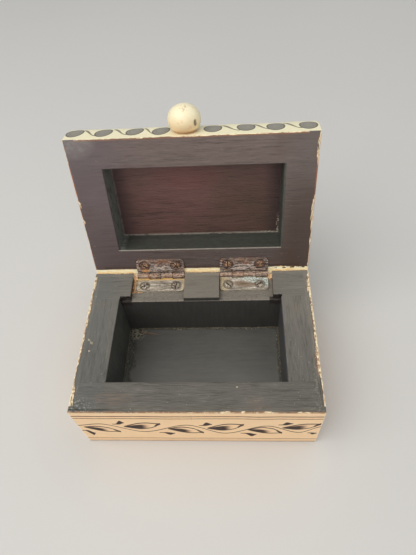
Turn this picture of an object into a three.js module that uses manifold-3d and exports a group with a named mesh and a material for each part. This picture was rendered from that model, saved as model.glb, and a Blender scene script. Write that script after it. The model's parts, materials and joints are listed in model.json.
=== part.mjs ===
// A wooden trinket box clad in bone plates, with its hinged lid standing open.
// Millimetres, +Z up. The origin is the centre of the underside, and the front faces -Y.

import * as THREE from "three";
import { mergeVertices } from "three/addons/utils/BufferGeometryUtils.js";
import Module from "manifold-3d";

const wasm = await Module();
wasm.setup();

// Outside of the closed box
const boxWidth = 114;
const boxDepth = 78;
const baseHeight = 39;

// Rims round the well, alike on base and lid, measured from the outside of the bone
const rimFront = 14.6;
const rimBack = 17;
const rimSide = 15.2;
const floorThickness = 8;

// Bone plates of the base
const baseBone = 3;
const seamX = -2;

// Lid: bone edges round wooden rails, then a wooden panel, then bone plates on top
const lidBone = 5.2;
const lidRailHeight = 14.2;
const panelThickness = 1.8;
const topBone = 2;
const edgeStraight = 6.6;
const edgeInset = 4.6;
const openAngle = THREE.MathUtils.degToRad(104);

// Butt hinges, with the turn in degrees of each screw's slot, from left to right
const hinges = [
  { side: "left", x: -21.4, lowerSlots: [35, 80], upperSlots: [140, 135] },
  { side: "right", x: 23.1, lowerSlots: [133, 20], upperSlots: [90, 5] },
];
const hingeLength = 25.4;
const knuckleCount = 4;
const barrelRadius = 1.7;
const pinRadius = 0.7;
const leafReach = 9.7;
const leafThickness = 0.9;
const leafCorner = 1.9;
const mortiseInnerPlay = 0.3;
const mortiseOuterPlay = 2.1;

// Wood screws with slotted countersunk heads
const screwInset = 4.3;
const screwReach = 6.1;
const screwHeadRadius = 2.3;
const screwShankRadius = 1;
const screwLength = 9;
const screwTip = 2;
const screwDome = 0.35;
const slotWidth = 0.55;
const slotDepth = 0.6;

// Knob: a bone ball with a flat seat, on a peg through the lid's front edge
const knobRadius = 7.25;
const knobFlat = 2;
const knobX = -2.4;
const knobRise = 6.75;
const pegRadius = 1.6;
const pegInBall = 5;
const pegInRail = 5;

// Clearances
const glue = 0.1;
const seatGap = 0.1;
const lidGap = 0.2;
const stopGap = 0.13;
const swingGap = 0.1;
const knuckleGap = 0.15;
const pinPlay = 0.08;
const barrelGap = 0.25;
const screwPlay = 0.08;
const pegPlay = 0.1;

// Facets
const roundSides = 24;
const ballSides = 48;
const edgeSteps = 10;
const overcut = 1;

// The base's outline, its well and its wooden carcass inside the bone
const halfWidth = boxWidth / 2;
const front = -boxDepth / 2;
const back = boxDepth / 2;
const well = { x: halfWidth - rimSide, front: front + rimFront, back: back - rimBack };
const carcass = {
  x: halfWidth - baseBone - glue,
  front: front + baseBone + glue,
  back: back - baseBone - glue,
};

// The hinge axis sits in from the back by what lets the lid's corner meet the back at the open angle
const faceReach = barrelRadius + seatGap;
const axisInset = (faceReach * Math.sin(openAngle) - stopGap) / (1 - Math.cos(openAngle));
const axisY = back - axisInset;
const axisZ = baseHeight + lidGap - faceReach;
const mortiseFloor = axisZ - faceReach;
const screwSpread = hingeLength / 2 - screwInset;

// The lid in its own frame, shut, with the hinge axis as its origin
const lidFront = axisInset - boxDepth;
const lidBack = axisInset;
const lidFace = faceReach;
const recess = { x: well.x, front: lidFront + rimFront, back: lidBack - rimBack };
const lidCarcass = {
  x: halfWidth - lidBone - glue,
  front: lidFront + lidBone + glue,
  back: lidBack - lidBone - glue,
};
const railTop = lidFace + lidRailHeight;
const panelBottom = railTop + glue;
const panelTop = panelBottom + panelThickness;
const lidTop = panelTop + glue + topBone;
const lidMiddle = (lidCarcass.front + lidCarcass.back) / 2;

const materials = {
  greyPaint: new THREE.MeshStandardMaterial({ color: "#5f5d57", roughness: 0.7, metalness: 0 }),
  brownPaint: new THREE.MeshStandardMaterial({ color: "#5a4a46", roughness: 0.6, metalness: 0 }),
  redWood: new THREE.MeshStandardMaterial({ color: "#55332f", roughness: 0.6, metalness: 0 }),
  bone: new THREE.MeshStandardMaterial({ color: "#ead6ab", roughness: 0.4, metalness: 0 }),
  paleBone: new THREE.MeshStandardMaterial({ color: "#f6ecca", roughness: 0.35, metalness: 0 }),
  steel: new THREE.MeshStandardMaterial({ color: "#6d5a4b", roughness: 0.6, metalness: 0.8 }),
};

function solidOf(geometry) {
  const bare = geometry.clone();
  bare.deleteAttribute("normal");
  bare.deleteAttribute("uv");
  const merged = mergeVertices(bare);
  const mesh = new wasm.Mesh({
    numProp: 3,
    vertProperties: merged.attributes.position.array,
    triVerts: new Uint32Array(merged.index.array),
  });
  return new wasm.Manifold(mesh);
}

function geometryOf(solid) {
  const { vertProperties, triVerts } = solid.getMesh();
  const geometry = new THREE.BufferGeometry();
  geometry.setAttribute("position", new THREE.BufferAttribute(vertProperties, 3));
  geometry.setIndex(new THREE.BufferAttribute(triVerts, 1));
  const faceted = geometry.toNonIndexed();
  faceted.computeVertexNormals();
  return faceted;
}

function cut(geometry, ...tools) {
  return geometryOf(tools.reduce((solid, tool) => solid.subtract(solidOf(tool)), solidOf(geometry)));
}

function join(geometry, ...others) {
  return geometryOf(others.reduce((solid, other) => solid.add(solidOf(other)), solidOf(geometry)));
}

function common(geometry, other) {
  return geometryOf(solidOf(geometry).intersect(solidOf(other)));
}

function block(x0, x1, y0, y1, z0, z1) {
  const geometry = new THREE.BoxGeometry(x1 - x0, y1 - y0, z1 - z0);
  return geometry.translate((x0 + x1) / 2, (y0 + y1) / 2, (z0 + z1) / 2);
}

// A rod along X, centred on the origin
function rod(radius, length) {
  return new THREE.CylinderGeometry(radius, radius, length, roundSides).rotateZ(Math.PI / 2);
}

// A profile drawn as (Y, Z) points, run along X from x0 to x1
function runAlongX(shape, x0, x1) {
  const options = { depth: x1 - x0, bevelEnabled: false, curveSegments: edgeSteps };
  const geometry = new THREE.ExtrudeGeometry(shape, options);
  return geometry.rotateX(Math.PI / 2).rotateZ(Math.PI / 2).translate(x0, 0, 0);
}

function add(group, name, geometry, material) {
  const mesh = new THREE.Mesh(geometry, material);
  mesh.name = name;
  group.add(mesh);
  return mesh;
}

// Four rails round a well: front and back run right across, and the sides fit between them
function rails(outer, inner, bottom, top) {
  const sideFront = inner.front + glue;
  const sideBack = inner.back - glue;
  return {
    front: block(-outer.x, outer.x, outer.front, inner.front, bottom, top),
    back: block(-outer.x, outer.x, inner.back, outer.back, bottom, top),
    left: block(-outer.x, -inner.x, sideFront, sideBack, bottom, top),
    right: block(inner.x, outer.x, sideFront, sideBack, bottom, top),
  };
}

// Screws: the head's rim lies in the plane z = 0, the head faces +Z and the point is below
function screwBody(play) {
  const shank = screwShankRadius + play;
  const coneDepth = screwHeadRadius - screwShankRadius;
  const profile = [
    new THREE.Vector2(0, -screwLength - play),
    new THREE.Vector2(shank, screwTip - screwLength - play),
    new THREE.Vector2(shank, -coneDepth),
    new THREE.Vector2(screwHeadRadius + play, 0),
    new THREE.Vector2(screwHeadRadius / 2 + play, screwDome + play),
    new THREE.Vector2(0, screwDome + play),
  ];
  return new THREE.LatheGeometry(profile, roundSides).rotateX(Math.PI / 2);
}

function slottedScrew() {
  const across = screwHeadRadius + overcut;
  const slotFloor = screwDome - slotDepth;
  return cut(
    screwBody(0),
    block(-across, across, -slotWidth / 2, slotWidth / 2, slotFloor, screwDome + overcut),
  );
}

// Where each hinge's two lower or upper screws sit, with x along the hinge axis
function screwPlaces(hinge) {
  return [
    { end: "left", x: hinge.x - screwSpread, index: 0 },
    { end: "right", x: hinge.x + screwSpread, index: 1 },
  ];
}

function lowerScrewHoles(hinge) {
  const headPlane = axisZ - barrelRadius + leafThickness;
  return screwPlaces(hinge).map((place) =>
    screwBody(screwPlay).translate(place.x, axisY - screwReach, headPlane),
  );
}

function upperScrewHoles(hinge) {
  const headPlane = barrelRadius - leafThickness;
  return screwPlaces(hinge).map((place) =>
    screwBody(screwPlay).rotateX(Math.PI).translate(place.x, -screwReach, headPlane),
  );
}

// The mortise for a hinge, open to the back and to the well, with more room on the outer side
function mortise(hinge) {
  const leftPlay = hinge.x < 0 ? mortiseOuterPlay : mortiseInnerPlay;
  const rightPlay = hinge.x < 0 ? mortiseInnerPlay : mortiseOuterPlay;
  const x0 = hinge.x - hingeLength / 2 - leftPlay;
  const x1 = hinge.x + hingeLength / 2 + rightPlay;
  const top = baseHeight + overcut;
  return block(x0, x1, well.back - overcut, back + overcut, mortiseFloor, top);
}

// The slope along the base's back edge that the lid's face swings through
function swingBevel() {
  const swing = faceReach - swingGap;
  const heightAtBack = axisZ + Math.sqrt(Math.max(swing ** 2 - axisInset ** 2, 0));
  const slope = (baseHeight - heightAtBack) / axisInset;
  const shape = new THREE.Shape();
  shape.moveTo(axisY, baseHeight);
  shape.lineTo(back + overcut, heightAtBack - slope * overcut);
  shape.lineTo(back + overcut, baseHeight + overcut);
  shape.lineTo(axisY, baseHeight + overcut);
  shape.closePath();
  return runAlongX(shape, -halfWidth - overcut, halfWidth + overcut);
}

// One hinge leaf in the hinge's frame: the plate lies below the axis, with every other knuckle
function leaf() {
  const half = hingeLength / 2;
  const plateEnd = -barrelRadius - barrelGap;
  const outline = new THREE.Shape();
  outline.moveTo(-half, plateEnd);
  outline.lineTo(-half, leafCorner - leafReach);
  outline.absarc(leafCorner - half, leafCorner - leafReach, leafCorner, Math.PI, 1.5 * Math.PI);
  outline.absarc(half - leafCorner, leafCorner - leafReach, leafCorner, 1.5 * Math.PI, 2 * Math.PI);
  outline.lineTo(half, plateEnd);
  outline.closePath();
  const options = { depth: leafThickness, bevelEnabled: false, curveSegments: edgeSteps };
  const plate = new THREE.ExtrudeGeometry(outline, options).translate(0, 0, -barrelRadius);
  const pitch = hingeLength / knuckleCount;
  const knuckleLength = pitch - knuckleGap;
  const inPlate = overcut / 2;
  const bottom = -barrelRadius;
  const knuckles = [];
  for (let index = 0; index < knuckleCount; index += 2) {
    const x = pitch * (index + 0.5) - half;
    const left = x - knuckleLength / 2;
    const right = x + knuckleLength / 2;
    knuckles.push(rod(barrelRadius, knuckleLength).translate(x, 0, 0));
    knuckles.push(block(left, right, plateEnd - inPlate, 0, bottom, bottom + leafThickness));
  }
  const holes = [-screwSpread, screwSpread].map((x) =>
    screwBody(screwPlay).translate(x, -screwReach, leafThickness - barrelRadius),
  );
  const bore = rod(pinRadius + pinPlay, hingeLength + overcut);
  return cut(join(plate, ...knuckles), bore, ...holes);
}

// The whole lid's rounded outside, from which each bone edge takes its share
function lidOutside() {
  const rise = lidTop - lidFace - edgeStraight;
  const shoulder = lidFace + edgeStraight;
  const profile = (low, high) => {
    const shape = new THREE.Shape();
    const right = high - edgeInset;
    const left = low + edgeInset;
    shape.moveTo(low, lidFace);
    shape.lineTo(high, lidFace);
    shape.lineTo(high, shoulder);
    shape.absellipse(right, shoulder, edgeInset, rise, 0, Math.PI / 2);
    shape.absellipse(left, shoulder, edgeInset, rise, Math.PI / 2, Math.PI);
    shape.closePath();
    return shape;
  };
  const acrossX = runAlongX(profile(lidFront, lidBack), -halfWidth, halfWidth);
  const acrossY = runAlongX(profile(-halfWidth, halfWidth), -lidBack, -lidFront).rotateZ(-Math.PI / 2);
  return common(acrossX, acrossY);
}

function pegRod(play) {
  const length = pegInBall + lidBone + glue + pegInRail + 2 * play;
  const middle = lidFront - seatGap - pegInBall + length / 2 - play;
  return rod(pegRadius + play, length).rotateZ(Math.PI / 2).translate(knobX, middle, lidFace + knobRise);
}

function knobBall() {
  const centre = lidFront - seatGap - knobRadius + knobFlat;
  const z = lidFace + knobRise;
  const ball = new THREE.SphereGeometry(knobRadius, ballSides, ballSides / 2).translate(knobX, centre, z);
  const reach = knobRadius + overcut;
  const seat = lidFront - seatGap;
  const cap = block(knobX - reach, knobX + reach, seat, seat + reach, z - reach, z + reach);
  return cut(ball, cap, pegRod(pegPlay));
}

function buildBase() {
  const base = new THREE.Group();
  const wood = rails(carcass, well, 0, baseHeight);
  const mortises = hinges.map(mortise);
  const screwHoles = hinges.flatMap(lowerScrewHoles);
  add(base, "base_front_rail", wood.front, materials.greyPaint);
  add(base, "base_back_rail", cut(wood.back, ...mortises, ...screwHoles), materials.greyPaint);
  add(base, "base_left_rail", wood.left, materials.greyPaint);
  add(base, "base_right_rail", wood.right, materials.greyPaint);

  const floorX = well.x - glue;
  const floor = block(-floorX, floorX, well.front + glue, well.back - glue, 0, floorThickness);
  add(base, "base_floor", floor, materials.greyPaint);

  const plates = [
    { end: "left", x0: -halfWidth, x1: seamX - glue / 2 },
    { end: "right", x0: seamX + glue / 2, x1: halfWidth },
  ];
  for (const { end, x0, x1 } of plates) {
    const frontPlate = block(x0, x1, front, front + baseBone, 0, baseHeight);
    const backPlate = block(x0, x1, back - baseBone, back, 0, baseHeight);
    add(base, `base_front_bone_${end}`, frontPlate, materials.bone);
    add(base, `base_back_bone_${end}`, cut(backPlate, ...mortises, swingBevel()), materials.bone);
  }
  const sideFront = front + baseBone + glue;
  const sideBack = back - baseBone - glue;
  const leftPlate = block(-halfWidth, baseBone - halfWidth, sideFront, sideBack, 0, baseHeight);
  const rightPlate = block(halfWidth - baseBone, halfWidth, sideFront, sideBack, 0, baseHeight);
  add(base, "base_left_bone", leftPlate, materials.bone);
  add(base, "base_right_bone", rightPlate, materials.bone);
  return base;
}

function addLidBones(lid) {
  const outside = lidOutside();
  const inX = halfWidth - lidBone;
  const high = lidTop + overcut;
  const low = lidFace - overcut;
  const outX = halfWidth + overcut;
  const leftRegion = block(-outX, -inX, lidFront - overcut, lidBack + overcut, low, high);
  const rightRegion = block(inX, outX, lidFront - overcut, lidBack + overcut, low, high);
  const betweenX = inX - glue;
  const frontRegion = block(-betweenX, betweenX, lidFront - overcut, lidFront + lidBone, low, high);
  const backRegion = block(-betweenX, betweenX, lidBack - lidBone, lidBack + overcut, low, high);
  add(lid, "lid_left_bone", common(outside, leftRegion), materials.paleBone);
  add(lid, "lid_right_bone", common(outside, rightRegion), materials.paleBone);
  add(lid, "lid_front_bone", cut(common(outside, frontRegion), pegRod(pegPlay)), materials.paleBone);
  add(lid, "lid_back_bone", common(outside, backRegion), materials.paleBone);

  const columns = [
    { end: "left", x0: -lidCarcass.x, x1: seamX - glue / 2 },
    { end: "right", x0: seamX + glue / 2, x1: lidCarcass.x },
  ];
  const rows = [
    { row: "front", y0: lidCarcass.front, y1: lidMiddle - glue / 2 },
    { row: "back", y0: lidMiddle + glue / 2, y1: lidCarcass.back },
  ];
  for (const { row, y0, y1 } of rows) {
    for (const { end, x0, x1 } of columns) {
      const plate = block(x0, x1, y0, y1, lidTop - topBone, lidTop);
      add(lid, `lid_top_bone_${row}_${end}`, plate, materials.paleBone);
    }
  }
}

function buildLid() {
  const lid = new THREE.Group();
  const wood = rails(lidCarcass, recess, lidFace, railTop);
  const screwHoles = hinges.flatMap(upperScrewHoles);
  add(lid, "lid_front_rail", cut(wood.front, pegRod(pegPlay)), materials.brownPaint);
  add(lid, "lid_back_rail", cut(wood.back, ...screwHoles), materials.brownPaint);
  add(lid, "lid_left_rail", wood.left, materials.brownPaint);
  add(lid, "lid_right_rail", wood.right, materials.brownPaint);
  const panelX = lidCarcass.x;
  const panel = block(-panelX, panelX, lidCarcass.front, lidCarcass.back, panelBottom, panelTop);
  add(lid, "lid_panel", panel, materials.redWood);
  addLidBones(lid);
  add(lid, "knob_ball", knobBall(), materials.paleBone);
  add(lid, "knob_peg", pegRod(0), materials.redWood);
  return lid;
}

// Hinge hardware: the lower leaf and pin stay on the base, and the upper leaf turns with the lid
function addHinges(base, lid) {
  const pin = rod(pinRadius, hingeLength + 2 * knuckleGap);
  const screw = slottedScrew();
  for (const hinge of hinges) {
    const name = `${hinge.side}_hinge`;
    const lower = add(base, `${name}_lower_leaf`, leaf(), materials.steel);
    lower.position.set(hinge.x, axisY, axisZ);
    const hingePin = add(base, `${name}_pin`, pin, materials.steel);
    hingePin.position.set(hinge.x, axisY, axisZ);
    const upper = add(lid, `${name}_upper_leaf`, leaf(), materials.steel);
    upper.position.set(hinge.x, 0, 0);
    upper.rotation.set(0, Math.PI, 0);
    for (const place of screwPlaces(hinge)) {
      const lowerScrew = add(base, `${name}_lower_screw_${place.end}`, screw, materials.steel);
      lowerScrew.position.set(place.x, axisY - screwReach, axisZ - barrelRadius + leafThickness);
      lowerScrew.rotation.z = THREE.MathUtils.degToRad(hinge.lowerSlots[place.index]);
      const upperScrew = add(lid, `${name}_upper_screw_${place.end}`, screw, materials.steel);
      upperScrew.position.set(place.x, -screwReach, barrelRadius - leafThickness);
      upperScrew.rotation.set(Math.PI, 0, THREE.MathUtils.degToRad(hinge.upperSlots[place.index]));
    }
  }
}

const base = buildBase();
const lid = buildLid();
addHinges(base, lid);
lid.position.set(0, axisY, axisZ);
lid.rotation.x = -openAngle;

const trinketBox = new THREE.Group();
trinketBox.add(base, lid);
export default trinketBox;
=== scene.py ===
"""A bone trinket box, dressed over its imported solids, with all its finishes.

Pieces are in metres. Patterns and the sizes inside finishes are drawn in millimetres, on the shut box.
"""

import json
import math

import bmesh
import bpy
from bpy.props import FloatProperty, FloatVectorProperty, PointerProperty
from mathutils import Matrix, Vector

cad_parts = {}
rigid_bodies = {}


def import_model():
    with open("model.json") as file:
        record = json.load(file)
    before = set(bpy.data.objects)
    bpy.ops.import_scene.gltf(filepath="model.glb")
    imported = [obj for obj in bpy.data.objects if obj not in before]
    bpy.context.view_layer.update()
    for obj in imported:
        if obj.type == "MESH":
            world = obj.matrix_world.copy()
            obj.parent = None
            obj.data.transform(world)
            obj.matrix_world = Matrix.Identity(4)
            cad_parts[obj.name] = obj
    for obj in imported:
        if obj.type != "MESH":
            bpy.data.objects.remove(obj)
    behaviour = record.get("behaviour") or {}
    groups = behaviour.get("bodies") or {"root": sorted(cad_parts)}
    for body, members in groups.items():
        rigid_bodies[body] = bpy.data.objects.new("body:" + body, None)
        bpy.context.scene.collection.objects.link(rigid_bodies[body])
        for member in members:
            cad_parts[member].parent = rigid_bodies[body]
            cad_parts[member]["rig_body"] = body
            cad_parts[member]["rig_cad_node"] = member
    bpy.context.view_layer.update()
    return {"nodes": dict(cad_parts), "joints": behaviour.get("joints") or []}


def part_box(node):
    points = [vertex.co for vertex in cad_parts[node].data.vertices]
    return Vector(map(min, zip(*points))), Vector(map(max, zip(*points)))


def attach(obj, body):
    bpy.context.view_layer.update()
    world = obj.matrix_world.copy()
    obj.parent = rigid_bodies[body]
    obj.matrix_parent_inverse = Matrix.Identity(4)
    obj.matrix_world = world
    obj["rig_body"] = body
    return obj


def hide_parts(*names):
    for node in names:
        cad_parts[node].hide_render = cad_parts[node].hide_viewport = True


bl_info = {
    "name": "Bone trinket box",
    "version": (1, 0, 0),
    "blender": (4, 5, 0),
    "location": "3D View > Sidebar > Trinket box",
    "description": "Dresses the trinket box's solids as worn wood, drawn-on bone and rusted steel",
    "category": "Object",
}

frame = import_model()

MM = 0.001
X, Y, Z = range(3)
LID_JOINT = frame["joints"][0]
HINGE_LINE = Vector(LID_JOINT["pos_m"])
OPEN_ANGLE = math.radians(LID_JOINT["range_deg"][1])
SHUT = (
    Matrix.Translation(HINGE_LINE)
    @ Matrix.Rotation(OPEN_ANGLE, 4, "X")
    @ Matrix.Translation(-HINGE_LINE)
)
OPENED = SHUT.inverted()


def shut_box(node):
    """Lowest and highest corners of a lid node in millimetres, with the lid shut."""
    corners = [SHUT @ v.co for v in frame["nodes"][node].data.vertices]
    low = [min(c[i] for c in corners) / MM for i in range(3)]
    high = [max(c[i] for c in corners) / MM for i in range(3)]
    return low, high


def rest_box(node):
    """Lowest and highest corners of a node in millimetres, as it rests."""
    low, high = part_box(node)
    return [c / MM for c in low], [c / MM for c in high]


# Places read from the solids, in millimetres, with the lid shut
FRONT_PLATE = rest_box("base_front_bone_left")
SIDE_PLATE = rest_box("base_left_bone")
BACK_PLATE = rest_box("base_back_bone_right")
FRONT_RAIL = rest_box("base_front_rail")
LEFT_RAIL = rest_box("base_left_rail")
BACK_RAIL = rest_box("base_back_rail")
FLOOR = rest_box("base_floor")
HALF_WIDTH = -FRONT_PLATE[0][0]
FRONT = FRONT_PLATE[0][1]
BACK = BACK_PLATE[1][1]
RIM = FRONT_RAIL[1][2]
BONE_INSIDE_FRONT = FRONT_PLATE[1][1]
BONE_INSIDE_SIDE = -SIDE_PLATE[1][0]
BONE_INSIDE_BACK = BACK_PLATE[0][1]
WELL_X = -LEFT_RAIL[1][0]
WELL_FRONT = FRONT_RAIL[1][1]
WELL_BACK = BACK_RAIL[0][1]
WELL_FLOOR = FLOOR[1][2]

LID_FRONT_BONE = shut_box("lid_front_bone")
LID_BACK_BONE = shut_box("lid_back_bone")
LID_LEFT_BONE = shut_box("lid_left_bone")
LID_FRONT_RAIL = shut_box("lid_front_rail")
LID_BACK_RAIL = shut_box("lid_back_rail")
LID_LEFT_RAIL = shut_box("lid_left_rail")
LID_PANEL = shut_box("lid_panel")
LID_FACE = LID_FRONT_RAIL[0][2]
LID_TOP = LID_FRONT_BONE[1][2]
RECESS_X = -LID_LEFT_RAIL[1][0]
RECESS_FRONT = LID_FRONT_RAIL[1][1]
RECESS_BACK = LID_BACK_RAIL[0][1]
RECESS_FLOOR = LID_PANEL[0][2]

LEFT_SCREW = rest_box("left_hinge_lower_screw_left")
RIGHT_SCREW = rest_box("left_hinge_lower_screw_right")
LEFT_LEAF = rest_box("left_hinge_lower_leaf")
RIGHT_LEAF = rest_box("right_hinge_lower_leaf")
SCREW_SHIFT = (RIGHT_SCREW[0][0] + RIGHT_SCREW[1][0] - LEFT_SCREW[0][0] - LEFT_SCREW[1][0]) / 4
SCREW_Y = (LEFT_SCREW[0][1] + LEFT_SCREW[1][1]) / 2
LEAF_CENTRES = {
    "left": (LEFT_LEAF[0][0] + LEFT_LEAF[1][0]) / 2,
    "right": (RIGHT_LEAF[0][0] + RIGHT_LEAF[1][0]) / 2,
}
LEAF_LENGTH = LEFT_LEAF[1][0] - LEFT_LEAF[0][0]
UPPER_SCREW = shut_box("left_hinge_upper_screw_left")
UPPER_SCREW_Y = (UPPER_SCREW[0][1] + UPPER_SCREW[1][1]) / 2
OVAL_PITCH = 13
HALF_GLUE_LINE = 0.05
PLATE_SEAM = FRONT_PLATE[1][0] + HALF_GLUE_LINE
ROSETTE_IN = 18.5
LOWER_DOME_FOOT = 36.6
UPPER_DOME_FOOT = 38.2
SAW_CUTS = ((-38.6, 3), (39.9, 2.4))
SHOULDER_LOW = 6
SHOULDER_DEEP = 4.9
KNOB_STRETCH = (1.03, 0.92, 1)
KNOB_PIT_WAY = (0.73748, 0, -0.695)
SAME_PLACE = 0.02
STEEP = math.radians(20)

# The photograph's camera, fitted to the box's corners
FOCAL_PIXELS = 465.66
PICTURE_HEIGHT = 555
SENSOR = 36
CAMERA_PLACE = Vector((20.345, -111.983, 236.826))
CAMERA_RIGHT = Vector((0.99767642, 0.02508219, -0.06334541))
CAMERA_DOWN = Vector((-0.01750509, -0.8041825, -0.59412464))
CAMERA_AHEAD = Vector((-0.06584322, 0.59385301, -0.80187485))


def tint(red, green, blue):
    """A colour given in 0-255 display values, as the linear values that sockets take."""

    def linear(value):
        value /= 255
        return value / 12.92 if value <= 0.04045 else ((value + 0.055) / 1.055) ** 2.4

    return linear(red), linear(green), linear(blue)


def colour(name, description, default):
    return FloatVectorProperty(
        name=name,
        description=description,
        default=default,
        subtype="COLOR",
        size=3,
        min=0,
        max=1,
    )


def length(name, description, millimetres):
    return FloatProperty(
        name=name,
        description=description,
        default=millimetres * MM,
        unit="LENGTH",
        subtype="DISTANCE",
        min=0,
        precision=5,
    )


class TrinketBoxSizes(bpy.types.PropertyGroup):
    """Small sizes that the solids leave out."""

    rail_round: length("Rail edges", "How far the painted rails' edges are worn round", 0.35)
    plate_round: length("Plate edges", "How far the bone plates' edges are worn round", 0.3)
    steel_round: length("Steel edges", "How far the hinges' and screws' edges are worn round", 0.1)
    recess_round: length("Recess edge", "How far the edge right of the lid's recess is worn round", 1.2)
    lid_wave: length("Lid edge waviness", "How deep the lid's filed edge dips", 0.28)
    glue_bead: length("Glue beads", "Radius of the old glue along the well's floor", 0.85)
    pit_depth: length("Knob pit", "Depth of the knob's pit", 1.3)


class TrinketBoxColours(bpy.types.PropertyGroup):
    """The finishes' main colours."""

    rim_paint: colour("Rim paint", "Thin grey paint on the base's rim", tint(108, 104, 96))
    # The well's wall colour: its darker paint together with painted shade.
    well_paint_and_shade: colour("Well paint", "Darker paint on the well's walls", tint(66, 66, 62))
    floor_paint: colour("Well floor", "Paint on the well's floor", tint(98, 96, 90))
    lid_paint: colour("Lid paint", "Brown-grey paint on the lid's inner face", tint(110, 96, 91))
    recess_paint: colour("Recess walls", "Green-black paint on the recess's walls", tint(70, 72, 66))
    recess_stain: colour("Recess stain", "Red-brown stain on the recess's floor", tint(104, 72, 68))
    raw_wood: colour("Bare wood", "Wood where the paint is gone", tint(205, 150, 95))
    # Painted light: the base's bone is the lid's bone made peach, for warm light reflected onto the
    # base.
    warm_lit_base_bone: colour("Base bone", "Peach-coloured bone of the base", tint(252, 217, 174))
    lid_bone: colour("Lid bone", "Cream bone of the lid and the knob", tint(255, 246, 208))
    ink: colour("Ink", "Brown ink of the leaf scroll", tint(46, 25, 19))
    # The ovals are dark paint; this grey is that paint with a painted sheen.
    oval_ink_and_sheen: colour("Oval ink", "Grey of the lid's ovals", tint(150, 145, 134))
    rust: colour("Rust", "Orange-brown rust", tint(138, 84, 52))
    old_steel: colour("Old steel", "Grey-brown tarnished steel", tint(142, 126, 116))
    dark_steel: colour("Dark steel", "Dark tarnish in hollows", tint(66, 50, 45))
    corrosion: colour("Corrosion", "Pale corrosion on the lower leaves", tint(214, 220, 206))


class Lead:
    """What one node of a finish puts out."""

    def __init__(self, finish, socket):
        self.finish = finish
        self.socket = socket


class Field(Lead):
    """A number that varies over a surface, so that finishes are written as plain expressions."""

    def __add__(self, other):
        return self.finish.math("ADD", self, other)

    __radd__ = __add__

    def __sub__(self, other):
        return self.finish.math("SUBTRACT", self, other)

    def __rsub__(self, other):
        return self.finish.math("SUBTRACT", other, self)

    def __mul__(self, other):
        return self.finish.math("MULTIPLY", self, other)

    def __truediv__(self, other):
        return self.finish.math("DIVIDE", self, other)

    def __abs__(self):
        return self.finish.math("ABSOLUTE", self)

    def __or__(self, other):
        return self.finish.math("MAXIMUM", self, other)

    def __and__(self, other):
        return self.finish.math("MINIMUM", self, other)

    def power(self, exponent):
        return self.finish.math("POWER", self, exponent)

    def root(self):
        return self.finish.math("SQRT", self)

    def fraction(self):
        return self.finish.math("FRACT", self)

    def rise(self, low, high):
        """0 below low and 1 above high, smooth between; falls where low is the larger."""
        inputs = {"Value": self, "From Min": low, "From Max": high}
        settings = {"interpolation_type": "SMOOTHSTEP"}
        return Field(self.finish, self.finish.node("ShaderNodeMapRange", settings, inputs).outputs[0])

    def near(self, value, width, soft=0.08):
        """1 within width of value, fading over soft."""
        return abs(self - value).rise(width + soft, width - soft)


class Coat(Lead):
    """A colour that varies over a surface."""

    def lay(self, mask, *colour):
        """Lays a colour over this one where the mask is 1, as a coat or in display values."""
        return self.finish.mix(mask, self, tint(*colour) if len(colour) == 3 else colour[0])


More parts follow.
